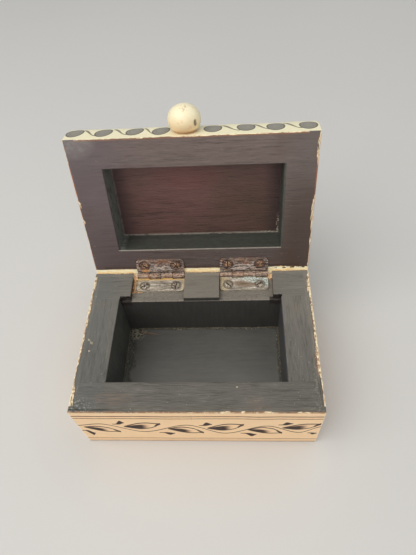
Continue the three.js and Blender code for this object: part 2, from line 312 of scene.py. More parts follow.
class Finish:
    """One surface finish: a material whose nodes are added by expressions."""

    def __init__(self, name, lid=False):
        self.material = bpy.data.materials.new(name)
        self.material.use_nodes = True
        self.tree = self.material.node_tree
        self.tree.nodes.clear()
        place = self.node("ShaderNodeTexCoord").outputs["Object"]
        turn = SHUT.to_euler() if lid else (0, 0, 0)
        shift = SHUT.to_translation() / MM if lid else (0, 0, 0)
        inputs = {"Vector": place, "Location": shift, "Rotation": turn, "Scale": (1 / MM,) * 3}
        self.at = self.node("ShaderNodeMapping", {"vector_type": "POINT"}, inputs).outputs[0]
        parts = self.node("ShaderNodeSeparateXYZ", inputs={0: self.at}).outputs
        self.x, self.y, self.z = (Field(self, part) for part in parts)

    def node(self, kind, settings=None, inputs=None):
        """Adds a node, sets it up, and gives each named or numbered input its value or link."""
        node = self.tree.nodes.new(kind)
        for key, value in (settings or {}).items():
            setattr(node, key, value)
        for key, value in (inputs or {}).items():
            if isinstance(value, Lead):
                value = value.socket
            if isinstance(value, bpy.types.NodeSocket):
                self.tree.links.new(value, node.inputs[key])
            else:
                node.inputs[key].default_value = value
        return node

    def math(self, operation, *values):
        node = self.node("ShaderNodeMath", {"operation": operation}, dict(enumerate(values)))
        return Field(self, node.outputs[0])

    def vector(self, x=0, y=0, z=0):
        return self.node("ShaderNodeCombineXYZ", inputs={0: x, 1: y, 2: z}).outputs[0]

    def noise(self, stretch, seed=0, detail=3, roughness=0.55, at=None):
        """Soft noise of 0 to 1 with its features this many per millimetre along each axis."""
        settings = {"operation": "MULTIPLY_ADD"}
        inputs = {0: at or self.at, 1: stretch, 2: (seed, seed * 1.7, seed * 0.6)}
        where = self.node("ShaderNodeVectorMath", settings, inputs).outputs[0]
        inputs = {"Vector": where, "Scale": 1, "Detail": detail, "Roughness": roughness}
        return Field(self, self.node("ShaderNodeTexNoise", inputs=inputs).outputs[0])

    def wander(self, along, per_mm, seed, detail=3):
        """Noise of 0 to 1 along a single field."""
        return self.noise((1, 1, 1), seed, detail, 0.6, at=self.vector(along * per_mm))

    def grain(self, along, slips=1.3):
        """The place for grain along one axis. Its lines are slipped, so that none start level."""
        if along == "x":
            return self.vector(self.x + self.noise((0, slips, slips), 77, 1) * 30, self.y, self.z)
        return self.vector(self.x, self.y + self.noise((slips, 0, slips), 77, 1) * 30, self.z)

    @staticmethod
    def opaque(colour):
        """A coat as it is, or a plain colour with its alpha."""
        return colour if isinstance(colour, Coat) else (*colour, 1)

    def mix(self, factor, first, second):
        """A coat between two colours."""
        settings = {"data_type": "RGBA", "clamp_factor": True}
        inputs = {0: factor, 6: self.opaque(first), 7: self.opaque(second)}
        return Coat(self, self.node("ShaderNodeMix", settings, inputs).outputs[2])

    def shade(self, base, factor):
        """A coat of one colour made darker or lighter by a field around 1."""
        grey = self.node("ShaderNodeCombineColor", inputs={0: factor, 1: factor, 2: factor}).outputs[0]
        settings = {"data_type": "RGBA", "blend_type": "MULTIPLY"}
        inputs = {0: 1, 6: self.opaque(base), 7: grey}
        return Coat(self, self.node("ShaderNodeMix", settings, inputs).outputs[2])

    def done(self, base, roughness, height=None, relief=0.1, metallic=0, specular=0.5):
        """Joins everything to the surface. Height is in millimetres times relief."""
        inputs = {"Base Color": base, "Roughness": roughness, "Metallic": metallic}
        inputs["Specular IOR Level"] = specular
        if height is not None:
            bump = {"Strength": 1, "Distance": relief * MM, "Height": height}
            inputs["Normal"] = self.node("ShaderNodeBump", inputs=bump).outputs[0]
        shader = self.node("ShaderNodeBsdfPrincipled", inputs=inputs)
        self.node("ShaderNodeOutputMaterial", inputs={0: shader.outputs[0]})
        return self.material


def oval(x, centre_x, radius_x, y, centre_y, radius_y):
    """The square of how far a place is from an ellipse's centre: 1 on its edge."""
    return ((x - centre_x) / radius_x).power(2) + ((y - centre_y) / radius_y).power(2)


def apart(*steps):
    """How far apart two places are whose coordinates differ by these steps."""
    total = steps[0].power(2)
    for step in steps[1:]:
        total = total + step.power(2)
    return total.root()


# Drawing in ink: each returns how dark the ink is, from 0 to 1


def drawn_leaf(across, up, base, tip, high, low):
    """A leaf from its stem end to its tip: a dark heart, an outline and a dark hooked point."""
    s = (across - base[0]) / (tip[0] - base[0])
    t = up - (s * (tip[1] - base[1]) + base[1])
    inside = (s | 0) & 1
    within = s.rise(-0.01, 0.02) * s.rise(1.02, 0.985)
    start = s.rise(-0.15, 0.5).power(0.8) * (inside * (1 - inside) * 4).power(0.45)
    gentle = start * s.rise(1.12, 0.55).power(0.8)
    blunt = start * s.rise(1.04, 0.74)
    rising = tip[1] > base[1]
    above = (gentle if rising else blunt) * high
    below = (blunt if rising else gentle) * -low
    filled = (above - t).rise(-0.1, 0.2) * (t - below).rise(-0.1, 0.2) * within
    outline = abs(t - above).rise(0.7, 0.2) | abs(t - below).rise(0.62, 0.14) * 0.85
    heart = filled * s.rise(0.8, 0.2) * (t - above * 0.3).rise(0.9 if rising else 1.9, -1)
    heart = heart * s.rise(-0.3, 0.2)
    point = abs(t - (below if rising else above)).rise(1.5, 0.6) * s.rise(0.8, 0.9)
    return (heart | (outline * within * s.rise(-0.1, 0.2))) | (point * within)


def drawn_bud(across, up, start, peak, end):
    """A small dark bud: a thin tail, a peak past the middle and a pointed end."""
    s = (across - start[0]) / (end[0] - start[0])
    middle = (peak[0] - start[0]) / (end[0] - start[0])
    side = 1 if peak[1] > start[1] else -1
    t = (up - start[1] - s.rise(0.5, 1) * (end[1] - start[1])) * side
    crest = s.rise(0.25, middle) * s.rise(1, middle)
    body = crest * (abs(peak[1] - start[1]) - 0.5) + 0.5
    within = s.rise(-0.02, 0.03) * s.rise(1.02, 0.96)
    return t.rise(-0.45, 0.1) * (body - t).rise(-0.35, 0.2) * within * s.rise(-0.3, 0.4)


def drawn_scroll(across, up, leaves, buds, stem_points):
    """A winding stem with its leaves and buds."""
    ink = None
    for base, tip, high, low in leaves:
        leaf = drawn_leaf(across, up, base, tip, high, low)
        ink = leaf if ink is None else ink | leaf
    for bud in buds:
        ink = ink | drawn_bud(across, up, *bud)
    for first, last in zip(stem_points, stem_points[1:]):
        s = (across - first[0]) / (last[0] - first[0])
        path = ((s | 0) & 1).rise(0, 1) * (last[1] - first[1]) + first[1]
        on_it = s.rise(-0.01, 0) * s.rise(1, 0.99)
        ink = ink | (abs(up - path).rise(0.6, 0.15) * on_it * 0.62)
    return ink


def repeated(across, pitch, offset):
    """The place inside one repeat of a pattern."""
    return ((across - offset) / pitch).fraction() * pitch


# The front's scroll, each point as (along, up) in millimetres
FRONT_LEAVES = [
    ((-54.6, 20.4), (-38.1, 14), 3.9, 2.3),
    ((-35.2, 21.2), (-17.3, 25), 2.8, 4.8),
    ((-14.6, 18.4), (2.2, 13.1), 4.8, 2.6),
    ((4.2, 19.2), (21.4, 24.2), 2.9, 4.9),
    ((23, 17.4), (39.5, 13.1), 5.1, 2.3),
    ((39.1, 20.1), (56.3, 25.4), 2, 4.4),
]
FRONT_BUDS = [
    ((-39.9, 24.3), (-35.8, 28.3), (-33.9, 26.1)),
    ((-57, 15.8), (-52.7, 10.6), (-51, 11.9)),
    ((-19.4, 13.1), (-14.5, 9.9), (-11.6, 12.2)),
    ((0.6, 22.8), (4.2, 26.7), (6.9, 24.4)),
    ((19.8, 12.5), (25.1, 8.7), (27.6, 10.9)),
    ((37.2, 24), (40.8, 27.3), (43.9, 25.5)),
    ((51.4, 13.5), (53.9, 11.3), (55.9, 13.1)),
]
FRONT_STEM = [
    (-57.5, 22.6),
    (-46.5, 24.8),
    (-26, 14.2),
    (-5, 23.4),
    (12.6, 12.3),
    (32.4, 22.5),
    (47.5, 13.9),
    (57.5, 22),
]
# One repeat of the scroll for the faces that the photograph doesn't show
SCROLL_PITCH = 38
REPEAT_LEAVES = [((2, 18.8), (18.4, 13.6), 3.4, 2.5), ((20.2, 20.3), (37.2, 24.8), 2.6, 4.2)]
REPEAT_BUDS = [
    ((15, 24), (19, 27.4), (21.6, 25.4)),
    ((34.5, 13.6), (39.2, 10), (41.8, 12)),
    ((-3.5, 13.6), (1.2, 10), (3.8, 12)),
]
REPEAT_STEM = [(-9, 13.6), (10.5, 23.6), (29.5, 13.6), (48.5, 23.6)]


def bone_grain(finish, base, along):
    """Bone: faint long fibres, small brown pores and warm clouds. Returns colour and height."""
    long, short = 0.07, 0.9
    stretch = {"x": (long, short, short), "y": (short, long, short)}[along]
    fibre = finish.noise(stretch, 3.1, 5, 0.65)
    pores = finish.noise(tuple(c * 3.4 for c in stretch), 8.7, 2, 0.5).rise(0.66, 0.76)
    cloud = finish.noise((0.06, 0.06, 0.06), 5.3, 3)
    paint = finish.shade(base, fibre * 0.24 + cloud * 0.12 + 0.85)
    warm = tuple(c * k for c, k in zip(base, (0.8, 0.6, 0.38)))
    paint = paint.lay((fibre * 0.6 + cloud * 0.4).rise(0.52, 0.68) * 0.22, warm)
    paint = paint.lay(pores * 0.45, warm)
    return paint, fibre * 0.3 - pores * 0.3


def rim_grain(finish, colours, along):
    """Thin grey paint with the wood's streaks, scratches, pale specks and brown rubbed patches, made
    lighter towards the back as painted light, with a painted shadow line near the front edge.
    """
    x, y = finish.x, finish.y
    long, short = 0.07, 0.66
    stretch = {"x": (long, short, short), "y": (short, long, short)}[along]
    lines = finish.grain(along)
    streak = finish.noise(stretch, 1.3, 5, 0.7, at=lines)
    fine = finish.noise(tuple(c * 3 for c in stretch), 4.9, 3, 0.6, at=lines)
    cloud = finish.noise((0.05, 0.06, 0.06), 2.2, 3)
    specks = finish.noise((1.1, 1.3, 1.3), 9.4, 2, 0.5)
    # Painted light: the paint grows lighter from the front to the back.
    dust_and_painted_light = (y - FRONT).rise(0, BACK - FRONT) * 0.46
    paint = finish.shade(colours.rim_paint, streak * 0.6 + fine * 0.75 + cloud * 0.25 + dust_and_painted_light + 0.02)
    paint = paint.lay(x.rise(-38, -50) * 0.35, 96, 101, 100)
    tongue = x.near((LEAF_CENTRES["left"] + LEAF_CENTRES["right"]) / 2, 9.6, 1) * y.rise(19, 23)
    paint = paint.lay(tongue * (streak * 0.6 + 0.2), 140, 130, 116)
    furrow = (streak * 0.5 + fine * 0.5).rise(0.46, 0.35) * 0.34
    paint = paint.lay(furrow, 66, 60, 56)
    ridge = (streak * 0.5 + fine * 0.5).rise(0.56, 0.66) * 0.34
    paint = paint.lay(ridge, 150, 142, 130)
    rubbed_and_highlight = cloud.rise(0.57, 0.72) * fine.rise(0.44, 0.62) * 0.4
    near_corner = oval(x, -37, 10, y, -32.5, 3.5).rise(1.4, 0.2)
    rubbed_and_highlight = rubbed_and_highlight | near_corner * fine.rise(0.42, 0.6) * 0.4
    paint = paint.lay(rubbed_and_highlight, 128, 102, 82)
    corner = oval(x, -54, 8, y, -38, 7).rise(1.4, 0.2)
    corner = corner | ((x - 54).near(0, 1.2, 1.5) * y.rise(-14, -22)) * 0.6
    grains = finish.noise((1, 1.2, 1.2), 12.4, 3, 0.7)
    paint = paint.lay(specks.rise(0.7, 0.76) * 0.6, 186, 180, 164)
    paint = paint.lay(grains.rise(0.47, 0.37) * corner * 0.5, 74, 74, 68)
    paint = paint.lay(grains.rise(0.52, 0.64) * corner * 0.55, 178, 176, 162)
    bend = (x + 52.8) + (y + 3.2) * 0.75 + (specks - 0.5) * 4
    scuff = abs(bend).rise(0.4, 0.1) * y.near(-3.2, 1.7, 0.5) * x.near(-52.8, 1.4, 0.4)
    scuff = scuff | oval(x, -52.4, 0.55, y, -8.4, 0.4).rise(1.3, 0.6)
    scuff = scuff | oval(x, 18.7, 0.5, y, -27, 0.35).rise(1.3, 0.6)
    paint = paint.lay(scuff * 0.7, 214, 196, 166)
    # A painted shadow line just behind the front edge, at the left.
    painted_shadow_line = (y - FRONT - 1.35 + (fine - 0.5) * 0.8).near(0, 0.3, 0.25) * x.rise(-30, -44)
    paint = paint.lay(painted_shadow_line * 0.7, 44, 40, 38)
    return paint, streak * 0.9 + fine * 0.8 - furrow * 0.6 + specks.rise(0.7, 0.76) * 0.5, streak


def worn_edge(finish, distance, along, seed, reach, chips):
    """Paint rubbed off in streaks along an edge. Returns the mask and a thin border."""
    streak = finish.noise((1, 1, 1), seed, 4, 0.62, at=finish.vector(along * 0.22, distance * 1.5))
    swell = finish.wander(along, 0.07, seed + 4, 2).rise(0.34, 0.66)
    far = (swell + chips * 1.3 + 0.45) * reach
    score = streak - (distance - reach * 0.22) / far * 0.3 + 0.28
    return score.rise(0.5, 0.56), score.near(0.465, 0.03, 0.03)


def painted_end(finish, under, grain, distance, along, seed, on_top, reach, chips=0, stain=0):
    """Paint over a plate's end, rubbed off along its outer edge. Returns colour and the paint's mask."""
    worn, border = worn_edge(finish, distance, along, seed, reach, chips)
    cover = on_top * (1 - worn)
    place = finish.vector(along * 0.5, distance * 2.2)
    fibres = finish.noise((1, 1, 1), seed + 40, 3, at=place)
    bare = finish.mix(fibres.rise(0.42, 0.62) * 0.6, tint(255, 240, 202), tint(186, 134, 90))
    bare = bare.lay(fibres.rise(0.62, 0.7) * (distance / reach).rise(0.4, 1), 112, 100, 86)
    bare = bare.lay(stain, 152, 108, 76)
    surface = under.lay(on_top, bare)
    surface = surface.lay(cover, grain)
    return surface.lay(border * on_top * 0.75, 128, 80, 52), cover


def base_bone_finish(colours, name, face):
    """Bone of the base: a drawn scroll between border lines, and grey paint over its top end, lightened
    as painted sheen, with a painted highlight on the top arris.
    """
    finish = Finish(name)
    x, y, z = finish.x, finish.y, finish.z
    along_side = face in ("left", "right")
    across = y if along_side else x
    grain_way = "y" if along_side else "x"
    bone, height = bone_grain(finish, colours.warm_lit_base_bone, grain_way)
    up = z - (finish.wander(across, 0.05, 12 + len(face), 2) - 0.5) * 1.6
    lines = up.near(34.5, 0.48, 0.2) | up.near(31.8, 0.4, 0.2) * 0.9
    lines = lines | up.near(4.6, 0.34, 0.25) * 0.8 | up.near(2.4, 0.22, 0.25) * 0.5
    lines = lines * (finish.wander(across, 0.35, 3) * 0.7 + 0.65)
    if face == "front":
        ink = drawn_scroll(x, z, FRONT_LEAVES, FRONT_BUDS, FRONT_STEM)
    else:
        place = repeated(across, SCROLL_PITCH, {"left": -39, "right": -37.5, "back": -57}[face])
        ink = drawn_scroll(place, z, REPEAT_LEAVES, REPEAT_BUDS, REPEAT_STEM)
    ink = ink * (finish.noise((0.5, 0.5, 1.3), 6.6, 3) * 0.8 + 0.7)
    outward = {
        "front": (y - FRONT).rise(0.45, 0.2),
        "back": (BACK - y).rise(0.45, 0.2),
        "left": (x + HALF_WIDTH).rise(0.45, 0.2),
        "right": (HALF_WIDTH - x).rise(0.45, 0.2),
    }[face]
    drawn = bone.lay(lines * outward, 108, 70, 50)
    smudge = (ink * 2.4 & 1) * 0.5
    drawn = drawn.lay(smudge * outward, 170, 104, 60)
    drawn = drawn.lay(ink.rise(0.08, 0.66) * outward, colours.ink)
    drawn = drawn.lay(z.rise(1.7, 0) * 0.8, 150, 94, 58)
    # A painted highlight along the rounded top arris.
    top_arris_highlight = z.near(RIM - 0.8, 0.5, 0.4) * outward
    drawn = drawn.lay(top_arris_highlight * finish.wander(across, 0.3, 19).rise(0.3, 0.5) * 0.4, 255, 232, 198)
    if not along_side:
        tick = (x - PLATE_SEAM).near(0, 0.1, 0.08) * up.near(33, 2.6, 0.4)
        drawn = drawn.lay(tick * outward * 0.5, 140, 100, 74)
    paint, relief, _ = rim_grain(finish, colours, grain_way)
    # Painted sheen: the paint over the plates' tops is made lighter, for the sheen that their low
    # specular level leaves out.
    paint = finish.shade(paint, 1.22)
    on_top = z.rise(RIM - 0.42, RIM - 0.2)
    from_front = y - FRONT
    from_side = HALF_WIDTH - abs(x)
    from_back = BACK - y
    chips = 0
    stain = finish.wander(across, 0.55, 29, 4).rise(0.5, 0.6) * 0.75
    stain = stain * (from_side & from_back).rise(0.15, 0.4)
    if face == "front":
        arris = from_side.rise(0.7, 0.2) * outward * 0.6
        drawn = drawn.lay(arris, 255, 238, 208)
        rub = from_front.rise(0.9, 0.3) * finish.wander(x, 0.35, 23, 4).rise(0.34, 0.56)
        paint = paint.lay(rub * 0.75, 176, 138, 104)
        on_top = z.rise(RIM - 0.5, RIM - 0.3)
        distance, reach = from_front & (from_side * 0.8 + 0.3), 0.34
        chips = x.near(14.2, 2.6, 0.9) | x.near(21.3, 0.7, 0.5)
        chips = chips | x.near(32.2, 1.8, 0.8) | x.near(47.5, 2.4, 1.2)
        stain = (1 - chips) * (finish.wander(x, 0.5, 37, 4).rise(0.4, 0.58) * 0.35 + 0.5)
    elif face == "back":
        distance, reach = from_back & from_side, 0.6
    elif face == "left":
        distance, reach = from_side, 0.72
        chips = y.near(28, 8, 4) * 0.5 | y.near(-32, 5, 3) * 0.7
    else:
        distance, reach = from_side, 0.8
        chips = y.near(-13, 9, 4) * 0.55 | y.near(28, 7, 4) * 0.45
    surface, cover = painted_end(
        finish, drawn, paint, distance, across, 17 + 3 * len(face), on_top, reach, chips, stain
    )
    relief = height * (1 - cover) + relief * cover
    return finish.done(surface, cover * 0.2 + 0.46, relief, 0.14, specular=0.2)


def rim_finish(colours, name, along):
    """Grey paint on a base rail: streaked on the rim and darker down in the well, partly as painted
    shade, with painted light on the side walls.
    """
    finish = Finish(name)
    x, y, z = finish.x, finish.y, finish.z
    paint, relief, streak = rim_grain(finish, colours, along)
    inner = z.rise(RIM - 0.15, RIM - 0.5)
    down = finish.noise((0.7, 0.7, 0.08), 21, 4)
    blot = finish.noise((0.12, 0.12, 0.12), 25, 3)
    # The well's walls: darker paint with painted shade.
    wall = finish.shade(colours.well_paint_and_shade, down * 0.8 + blot * 0.8 + 0.25)
    foot = (z - WELL_FLOOR).rise(3.5, 0.3) * blot.rise(0.4, 0.6)
    wall = wall.lay(foot * 0.5, 104, 98, 84)
    if along == "y":
        # Painted light on the side walls: the left one paler and mottled, the right one paler grey, with
        # a bluish painted highlight along the right one's top.
        right = x.rise(-30, 30)
        lightened_wall = finish.shade(tint(100, 101, 94), down * 0.8 + blot * 0.9 + 0.15)
        wall = wall.lay((1 - right) * 0.55, lightened_wall)
        wall = wall.lay(right * 0.45, 94, 92, 91)
        arris = (z - RIM).rise(-4.5, -0.9) * (finish.wander(y, 0.2, 27).rise(0.3, 0.5) * 0.7 + 0.3)
        wall = wall.lay(arris * right * 0.6, 112, 122, 142)
    surface = paint.lay(inner, wall)
    edge = (z - RIM).near(-0.34, 0.14, 0.1) * finish.wander(x + y * 3, 0.35, 2).rise(0.35, 0.65)
    surface = surface.lay(edge * 0.4, 142, 136, 124)
    return finish.done(surface, 0.6 - streak * 0.14, relief, 0.18)


def back_rail_finish(colours):
    """The back rail's paint, with raw wood round the hinge leaves and dark rough saw cuts; the cuts, the
    mortises' cheeks and the well wall are darkened with painted shade.
    """
    finish = Finish("back_rail_paint")
    x, y, z = finish.x, finish.y, finish.z
    paint, relief, streak = rim_grain(finish, colours, "x")
    down = finish.noise((0.7, 0.7, 0.08), 21, 4)
    # The well's back wall: its paint with painted shade.
    wall = finish.shade(tint(68, 67, 64), down * 0.8 + 0.55)
    ragged = finish.noise((0.45, 0.45, 0.45), 14, 3) - 0.5
    grit = finish.noise((0.8, 1.4, 1.4), 17, 4, 0.7)
    in_well = (y - WELL_BACK).rise(0.4, 0.1)
    sunk = z.rise(RIM - 0.5, RIM - 1.2)
    ledge_floor = z.rise(RIM - 3, RIM - 3.25)
    ledge = finish.shade(tint(130, 123, 112), streak * 0.7 + grit * 0.9 + 0.16)
    ledge = ledge.lay(grit.rise(0.44, 0.36) * 0.6, 84, 74, 66)
    # The mortises' cheeks: dark brown painted shade on the wood.
    cheek = finish.shade(tint(70, 52, 44), grit * 0.9 + 0.5)
    surface = paint.lay(sunk, cheek.lay(ledge_floor, ledge))
    surface = surface.lay(in_well * sunk, wall)
    lip = (y - WELL_BACK).near(0.15, 0.3, 0.2) * (z - (RIM - 3.4)).near(0, 0.35, 0.2)
    surface = surface.lay(lip * 0.7 * grit.rise(0.3, 0.5), 170, 160, 146)
    left = (x + 35.6 + ragged * 1.2).near(0, 0.9, 0.4) * y.rise(27.6, 29)
    corner = (y - 28 + ragged * 1.2 - (x + 34) * 0.15).near(0, 0.6, 0.35) * x.rise(-27.5, -30)
    middle = (x + 8.5 + ragged * 0.5).near(0, 0.25, 0.15) * y.rise(27.9, 29)
    right = (x - 36.7 + ragged * 1.5).near(0, 0.6, 0.4) * y.rise(33.8, 35.4)
    fibres = finish.noise((1, 0.4, 1), 31, 3)
    raw = finish.mix(fibres.rise(0.36, 0.6), tint(150, 92, 56), tint(238, 196, 140))
    surface = surface.lay((left | corner | middle | right) * ledge_floor, raw)
    # Painted shade inside the rough saw cuts.
    cut = (abs(x) - 36).rise(-0.3, 0.3) * (abs(x) - 43.4).rise(0.2, -0.6)
    cut = cut * (y - 24 - ragged * 1.5).rise(0.3, -0.3) * z.rise(RIM - 0.1, RIM - 0.6)
    cut = cut * (z + ragged * 5).rise(RIM - 8.5, RIM - 6)
    surface = surface.lay(cut * 0.9, 46, 38, 35)
    return finish.done(surface, 0.6 - streak * 0.12, relief + ragged * cut * 4 + grit * sunk, 0.18)


def well_floor_finish(colours):
    """The well's floor: grey-green paint, lighter towards the front as painted light, old glue along two
    edges and one raw scratch.
    """
    finish = Finish("well_floor_paint")
    x, y = finish.x, finish.y
    streak = finish.noise((0.03, 0.45, 1), 7, 4)
    fine = finish.noise((0.2, 1.4, 1), 9, 3)
    cloud = finish.noise((0.04, 0.05, 0.05), 15, 3)
    # Painted light: the floor grows lighter towards the front.
    front = (y - WELL_FRONT).rise(34, 4)
    shade = streak * 0.35 + fine * 0.35 + cloud * 0.4 + front * 0.94 + 0.25
    paint = finish.shade(colours.floor_paint, shade)
    paint = paint.lay(((x + 12) / 26).power(2).rise(1.2, 0.1) * front * 0.3, 98, 90, 84)
    from_left = x + WELL_X
    from_back = WELL_BACK - y
    grit = finish.noise((0.8, 0.8, 0.8), 41, 4, 0.7)
    bubbles = finish.node(
        "ShaderNodeTexVoronoi", {"feature": "DISTANCE_TO_EDGE"}, {"Vector": finish.at, "Scale": 0.62}
    )
    rings = Field(finish, bubbles.outputs["Distance"]).rise(0.24, 0.08)
    wide = finish.noise((0.15, 0.15, 0.15), 44, 2) * 5
    corner = oval(from_left, 3.5, 5.5, from_back, 2.5, 4.5).rise(1.5, 0.5)
    band = (from_left - wide * 1.5).rise(1.2, -0.9) | (from_back - wide * 0.45).rise(0.5, -0.3)
    band = band | ((WELL_X - x) - wide * 0.5).rise(0.5, -0.3)
    paint = paint.lay(band * 0.45, 64, 66, 58)
    crumbs = (grit.rise(0.5, 0.62) * band) | (rings * corner * grit.rise(0.3, 0.5))
    paint = paint.lay(crumbs * 0.85, 166, 158, 138)
    rear = from_back.rise(0.9, 0.3) * finish.wander(x, 0.3, 47).rise(0.35, 0.6)
    paint = paint.lay(rear * 0.6, 150, 142, 126)
    specks = grit.rise(0.62, 0.68) * ((x - 36.5) / 3).power(2).rise(1.2, 0.2) * y.near(4, 3, 2)
    paint = paint.lay(specks * 0.8, 150, 140, 116)
    across = (y - 18.6) + (x + 30) * 0.13
    scratch = abs(across).rise(0.42, 0.08) * x.rise(-37, -35) * x.rise(-25, -27.5)
    paint = paint.lay(scratch * 0.7, 160, 112, 76)
    return finish.done(paint, 0.6, streak * 0.4 + fine * 0.4 + crumbs * 3 - scratch, 0.2)


def lid_grain(finish, colours):
    """Brown-grey paint with fine level grain, paler towards the knob as painted light. Returns colour,
    height, streak.
    """
    x = finish.x
    lines = finish.grain("x")
    streak = finish.noise((0.05, 0.6, 0.6), 51, 5, 0.7, at=lines)
    fine = finish.noise((0.2, 1.7, 1.7), 53, 3, 0.6, at=lines)
    cloud = finish.noise((0.035, 0.05, 0.05), 58, 3)
    # Painted light: the paint grows paler towards the knob.
    light = (finish.y - BACK).rise(-6, -78)
    paint = finish.shade(colours.lid_paint, streak * 0.6 + fine * 0.8 + light * 0.4 + 0.02)
    paint = paint.lay((streak * 0.5 + fine * 0.5).rise(0.46, 0.36) * 0.5, 58, 42, 40)
    paint = paint.lay((streak * 0.5 + fine * 0.5).rise(0.56, 0.66) * 0.3, 140, 120, 112)
    paint = paint.lay(cloud.rise(0.5, 0.68) * 0.4, 94, 70, 60)
    grey = (abs(x) - 30).rise(0, 26) * light
    paint = paint.lay(grey * light * 0.5, 108, 102, 98)
    mauve = x.rise(-20, -46) * (1 - light)
    paint = paint.lay(mauve * 0.6, finish.shade(tint(88, 73, 74), streak * 0.5 + fine * 0.5 + 0.5))
    paint = paint.lay(x.rise(-14, -50) * (light * 0.5 + 0.05), 104, 92, 100)
    # Painted shade: darker brown along the right side, away from the knob.
    brown = x.rise(34, 50) * finish.y.rise(-36, 10)
    paint = paint.lay(brown * 0.8, 74, 57, 49)
    mottle = finish.noise((0.45, 0.6, 0.6), 63, 3, 0.6).rise(0.4, 0.62)
    hazy = oval(x, -54, 11, finish.y, -39, 9).rise(1.5, 0.1)
    paint = paint.lay(hazy * (mottle * 0.35 + 0.45), 144, 138, 134)
    speck = finish.noise((0.6, 1.2, 1.2), 61, 2, 0.5).rise(0.71, 0.78)
    paint = paint.lay(speck * 0.5, 160, 138, 112)
    return paint, streak * 0.8 + fine * 0.9, streak


def lid_wood_finish(colours):
    """The lid's rails: brown-grey paint on the face, green-black paint in the recess."""
    finish = Finish("lid_rail_paint", lid=True)
    x, y, z = finish.x, finish.y, finish.z
    paint, relief, streak = lid_grain(finish, colours)
    inside_y = (y - RECESS_FRONT).rise(-0.5, 0.1) * (y - RECESS_BACK).rise(0.5, -0.1)
    worn = (RECESS_X + 1 - x).rise(-0.15, 0.15) * x.rise(0, 1) * inside_y
    deep = (z - LID_FACE).rise(0.3, 0.8) | worn
    grain = finish.noise((0.3, 0.3, 0.9), 71, 4)
    wall = finish.shade(colours.recess_paint, grain * 0.9 + 0.6)
    stripe = (z - LID_FACE).near(9, 1.2, 1) * finish.wander(y, 0.15, 69).rise(0.4, 0.6)
    wall = wall.lay(stripe * 0.3, 104, 108, 104)
    wall = wall.lay(x.rise(-38, -41) * grain.rise(0.26, 0.56) * 0.9, 134, 140, 134)
    surface = paint.lay(deep, wall)
    inside_x = (RECESS_X + 0.4 - abs(x)).rise(-0.2, 0.2)
    low_edge = (z - LID_FACE).rise(0.85, 0.3) * (y - RECESS_BACK).near(0, 0.35, 0.25) * inside_x
    low_edge = low_edge * (finish.wander(x, 0.3, 73) * 0.8 + 0.45)
    foot = (RECESS_FLOOR - z).rise(0.8, 0.3) * finish.wander(x + y * 2, 0.25, 4).rise(0.3, 0.5)
    surface = surface.lay(low_edge | foot * 0.85, 158, 150, 140)
    # A painted highlight along the rounded lip right of the recess.
    lit = (x - RECESS_X).near(0.55, 0.25, 0.25) * (z - LID_FACE).rise(0.9, 0.3) * inside_y
    surface = surface.lay(lit * finish.wander(y, 0.3, 75) * 0.3, 140, 130, 120)
    ragged = finish.wander(x, 0.6, 77, 4) - 0.5
    hinge_edge = (y - 33.4 + ragged * 0.8).rise(-0.9, 0.1) * (1 - deep)
    surface = surface.lay(hinge_edge * 0.7, 62, 42, 32)
    return finish.done(surface, 0.54 - streak * 0.1, relief, 0.16)


def recess_floor_finish(colours):
    """The recess's floor: red-brown stain over rippled level grain, with pale dust in one corner,
    lighter towards the knob as painted light and darker by the side walls as painted shade.
    """
    finish = Finish("recess_stain", lid=True)
    x, y = finish.x, finish.y
    lines = finish.grain("x")
    ripple = finish.noise((0.06, 0.42, 0.5), 81, 4, 0.65, at=lines)
    fine = finish.noise((0.16, 1.5, 1.5), 84, 3, at=lines)
    cloud = finish.noise((0.04, 0.04, 0.04), 87, 3)
    # Painted light: lighter towards the knob.
    upper = y.rise(12, -22) * 0.34
    stain = finish.shade(colours.recess_stain, ripple * 0.9 + fine * 0.8 + upper + 0.14)
    brown = cloud.rise(0.42, 0.66) * 0.35 + x.rise(-6, 30) * y.rise(-18, 6) * 0.5
    stain = stain.lay(brown, 84, 66, 50)
    stain = stain.lay((ripple * 0.5 + fine * 0.5).rise(0.46, 0.37) * 0.45, 54, 38, 38)
    red = oval(x, -4, 20, y, -14, 9).rise(1.4, 0.1)
    stain = stain.lay(red * 0.4, 124, 70, 66)
    stain = stain.lay(y.rise(-2, -22) * 0.25, 104, 86, 82)
    stain = stain.lay(x.rise(4, 36) * 0.14, 50, 36, 34)
    # Painted shade: darker near the side walls.
    edge = (RECESS_X - abs(x)).rise(10, 0.5) * 0.6
    stain = stain.lay(edge, 60, 48, 50)
    foot = (RECESS_BACK - y).rise(1, 0.4) | (x + RECESS_X).rise(0.9, 0.4) * 0.5
    foot = foot * (finish.wander(x + y, 0.3, 93).rise(0.3, 0.5) * 0.6 + 0.2)
    stain = stain.lay(foot * 0.9, 150, 144, 134)
    dust_and_painted_light = finish.noise((0.9, 0.9, 0.9), 90, 3).rise(0.48, 0.58)
    corner = (RECESS_X - x).rise(1.6, 0.4) * y.rise(9, 15)
    corner = corner | (RECESS_BACK - y).rise(1.4, 0.4) * x.rise(28, 38)
    stain = stain.lay(dust_and_painted_light * corner * 0.8, 196, 188, 168)
    return finish.done(stain, 0.52, ripple * 1.4 + fine * 0.8, 0.2)


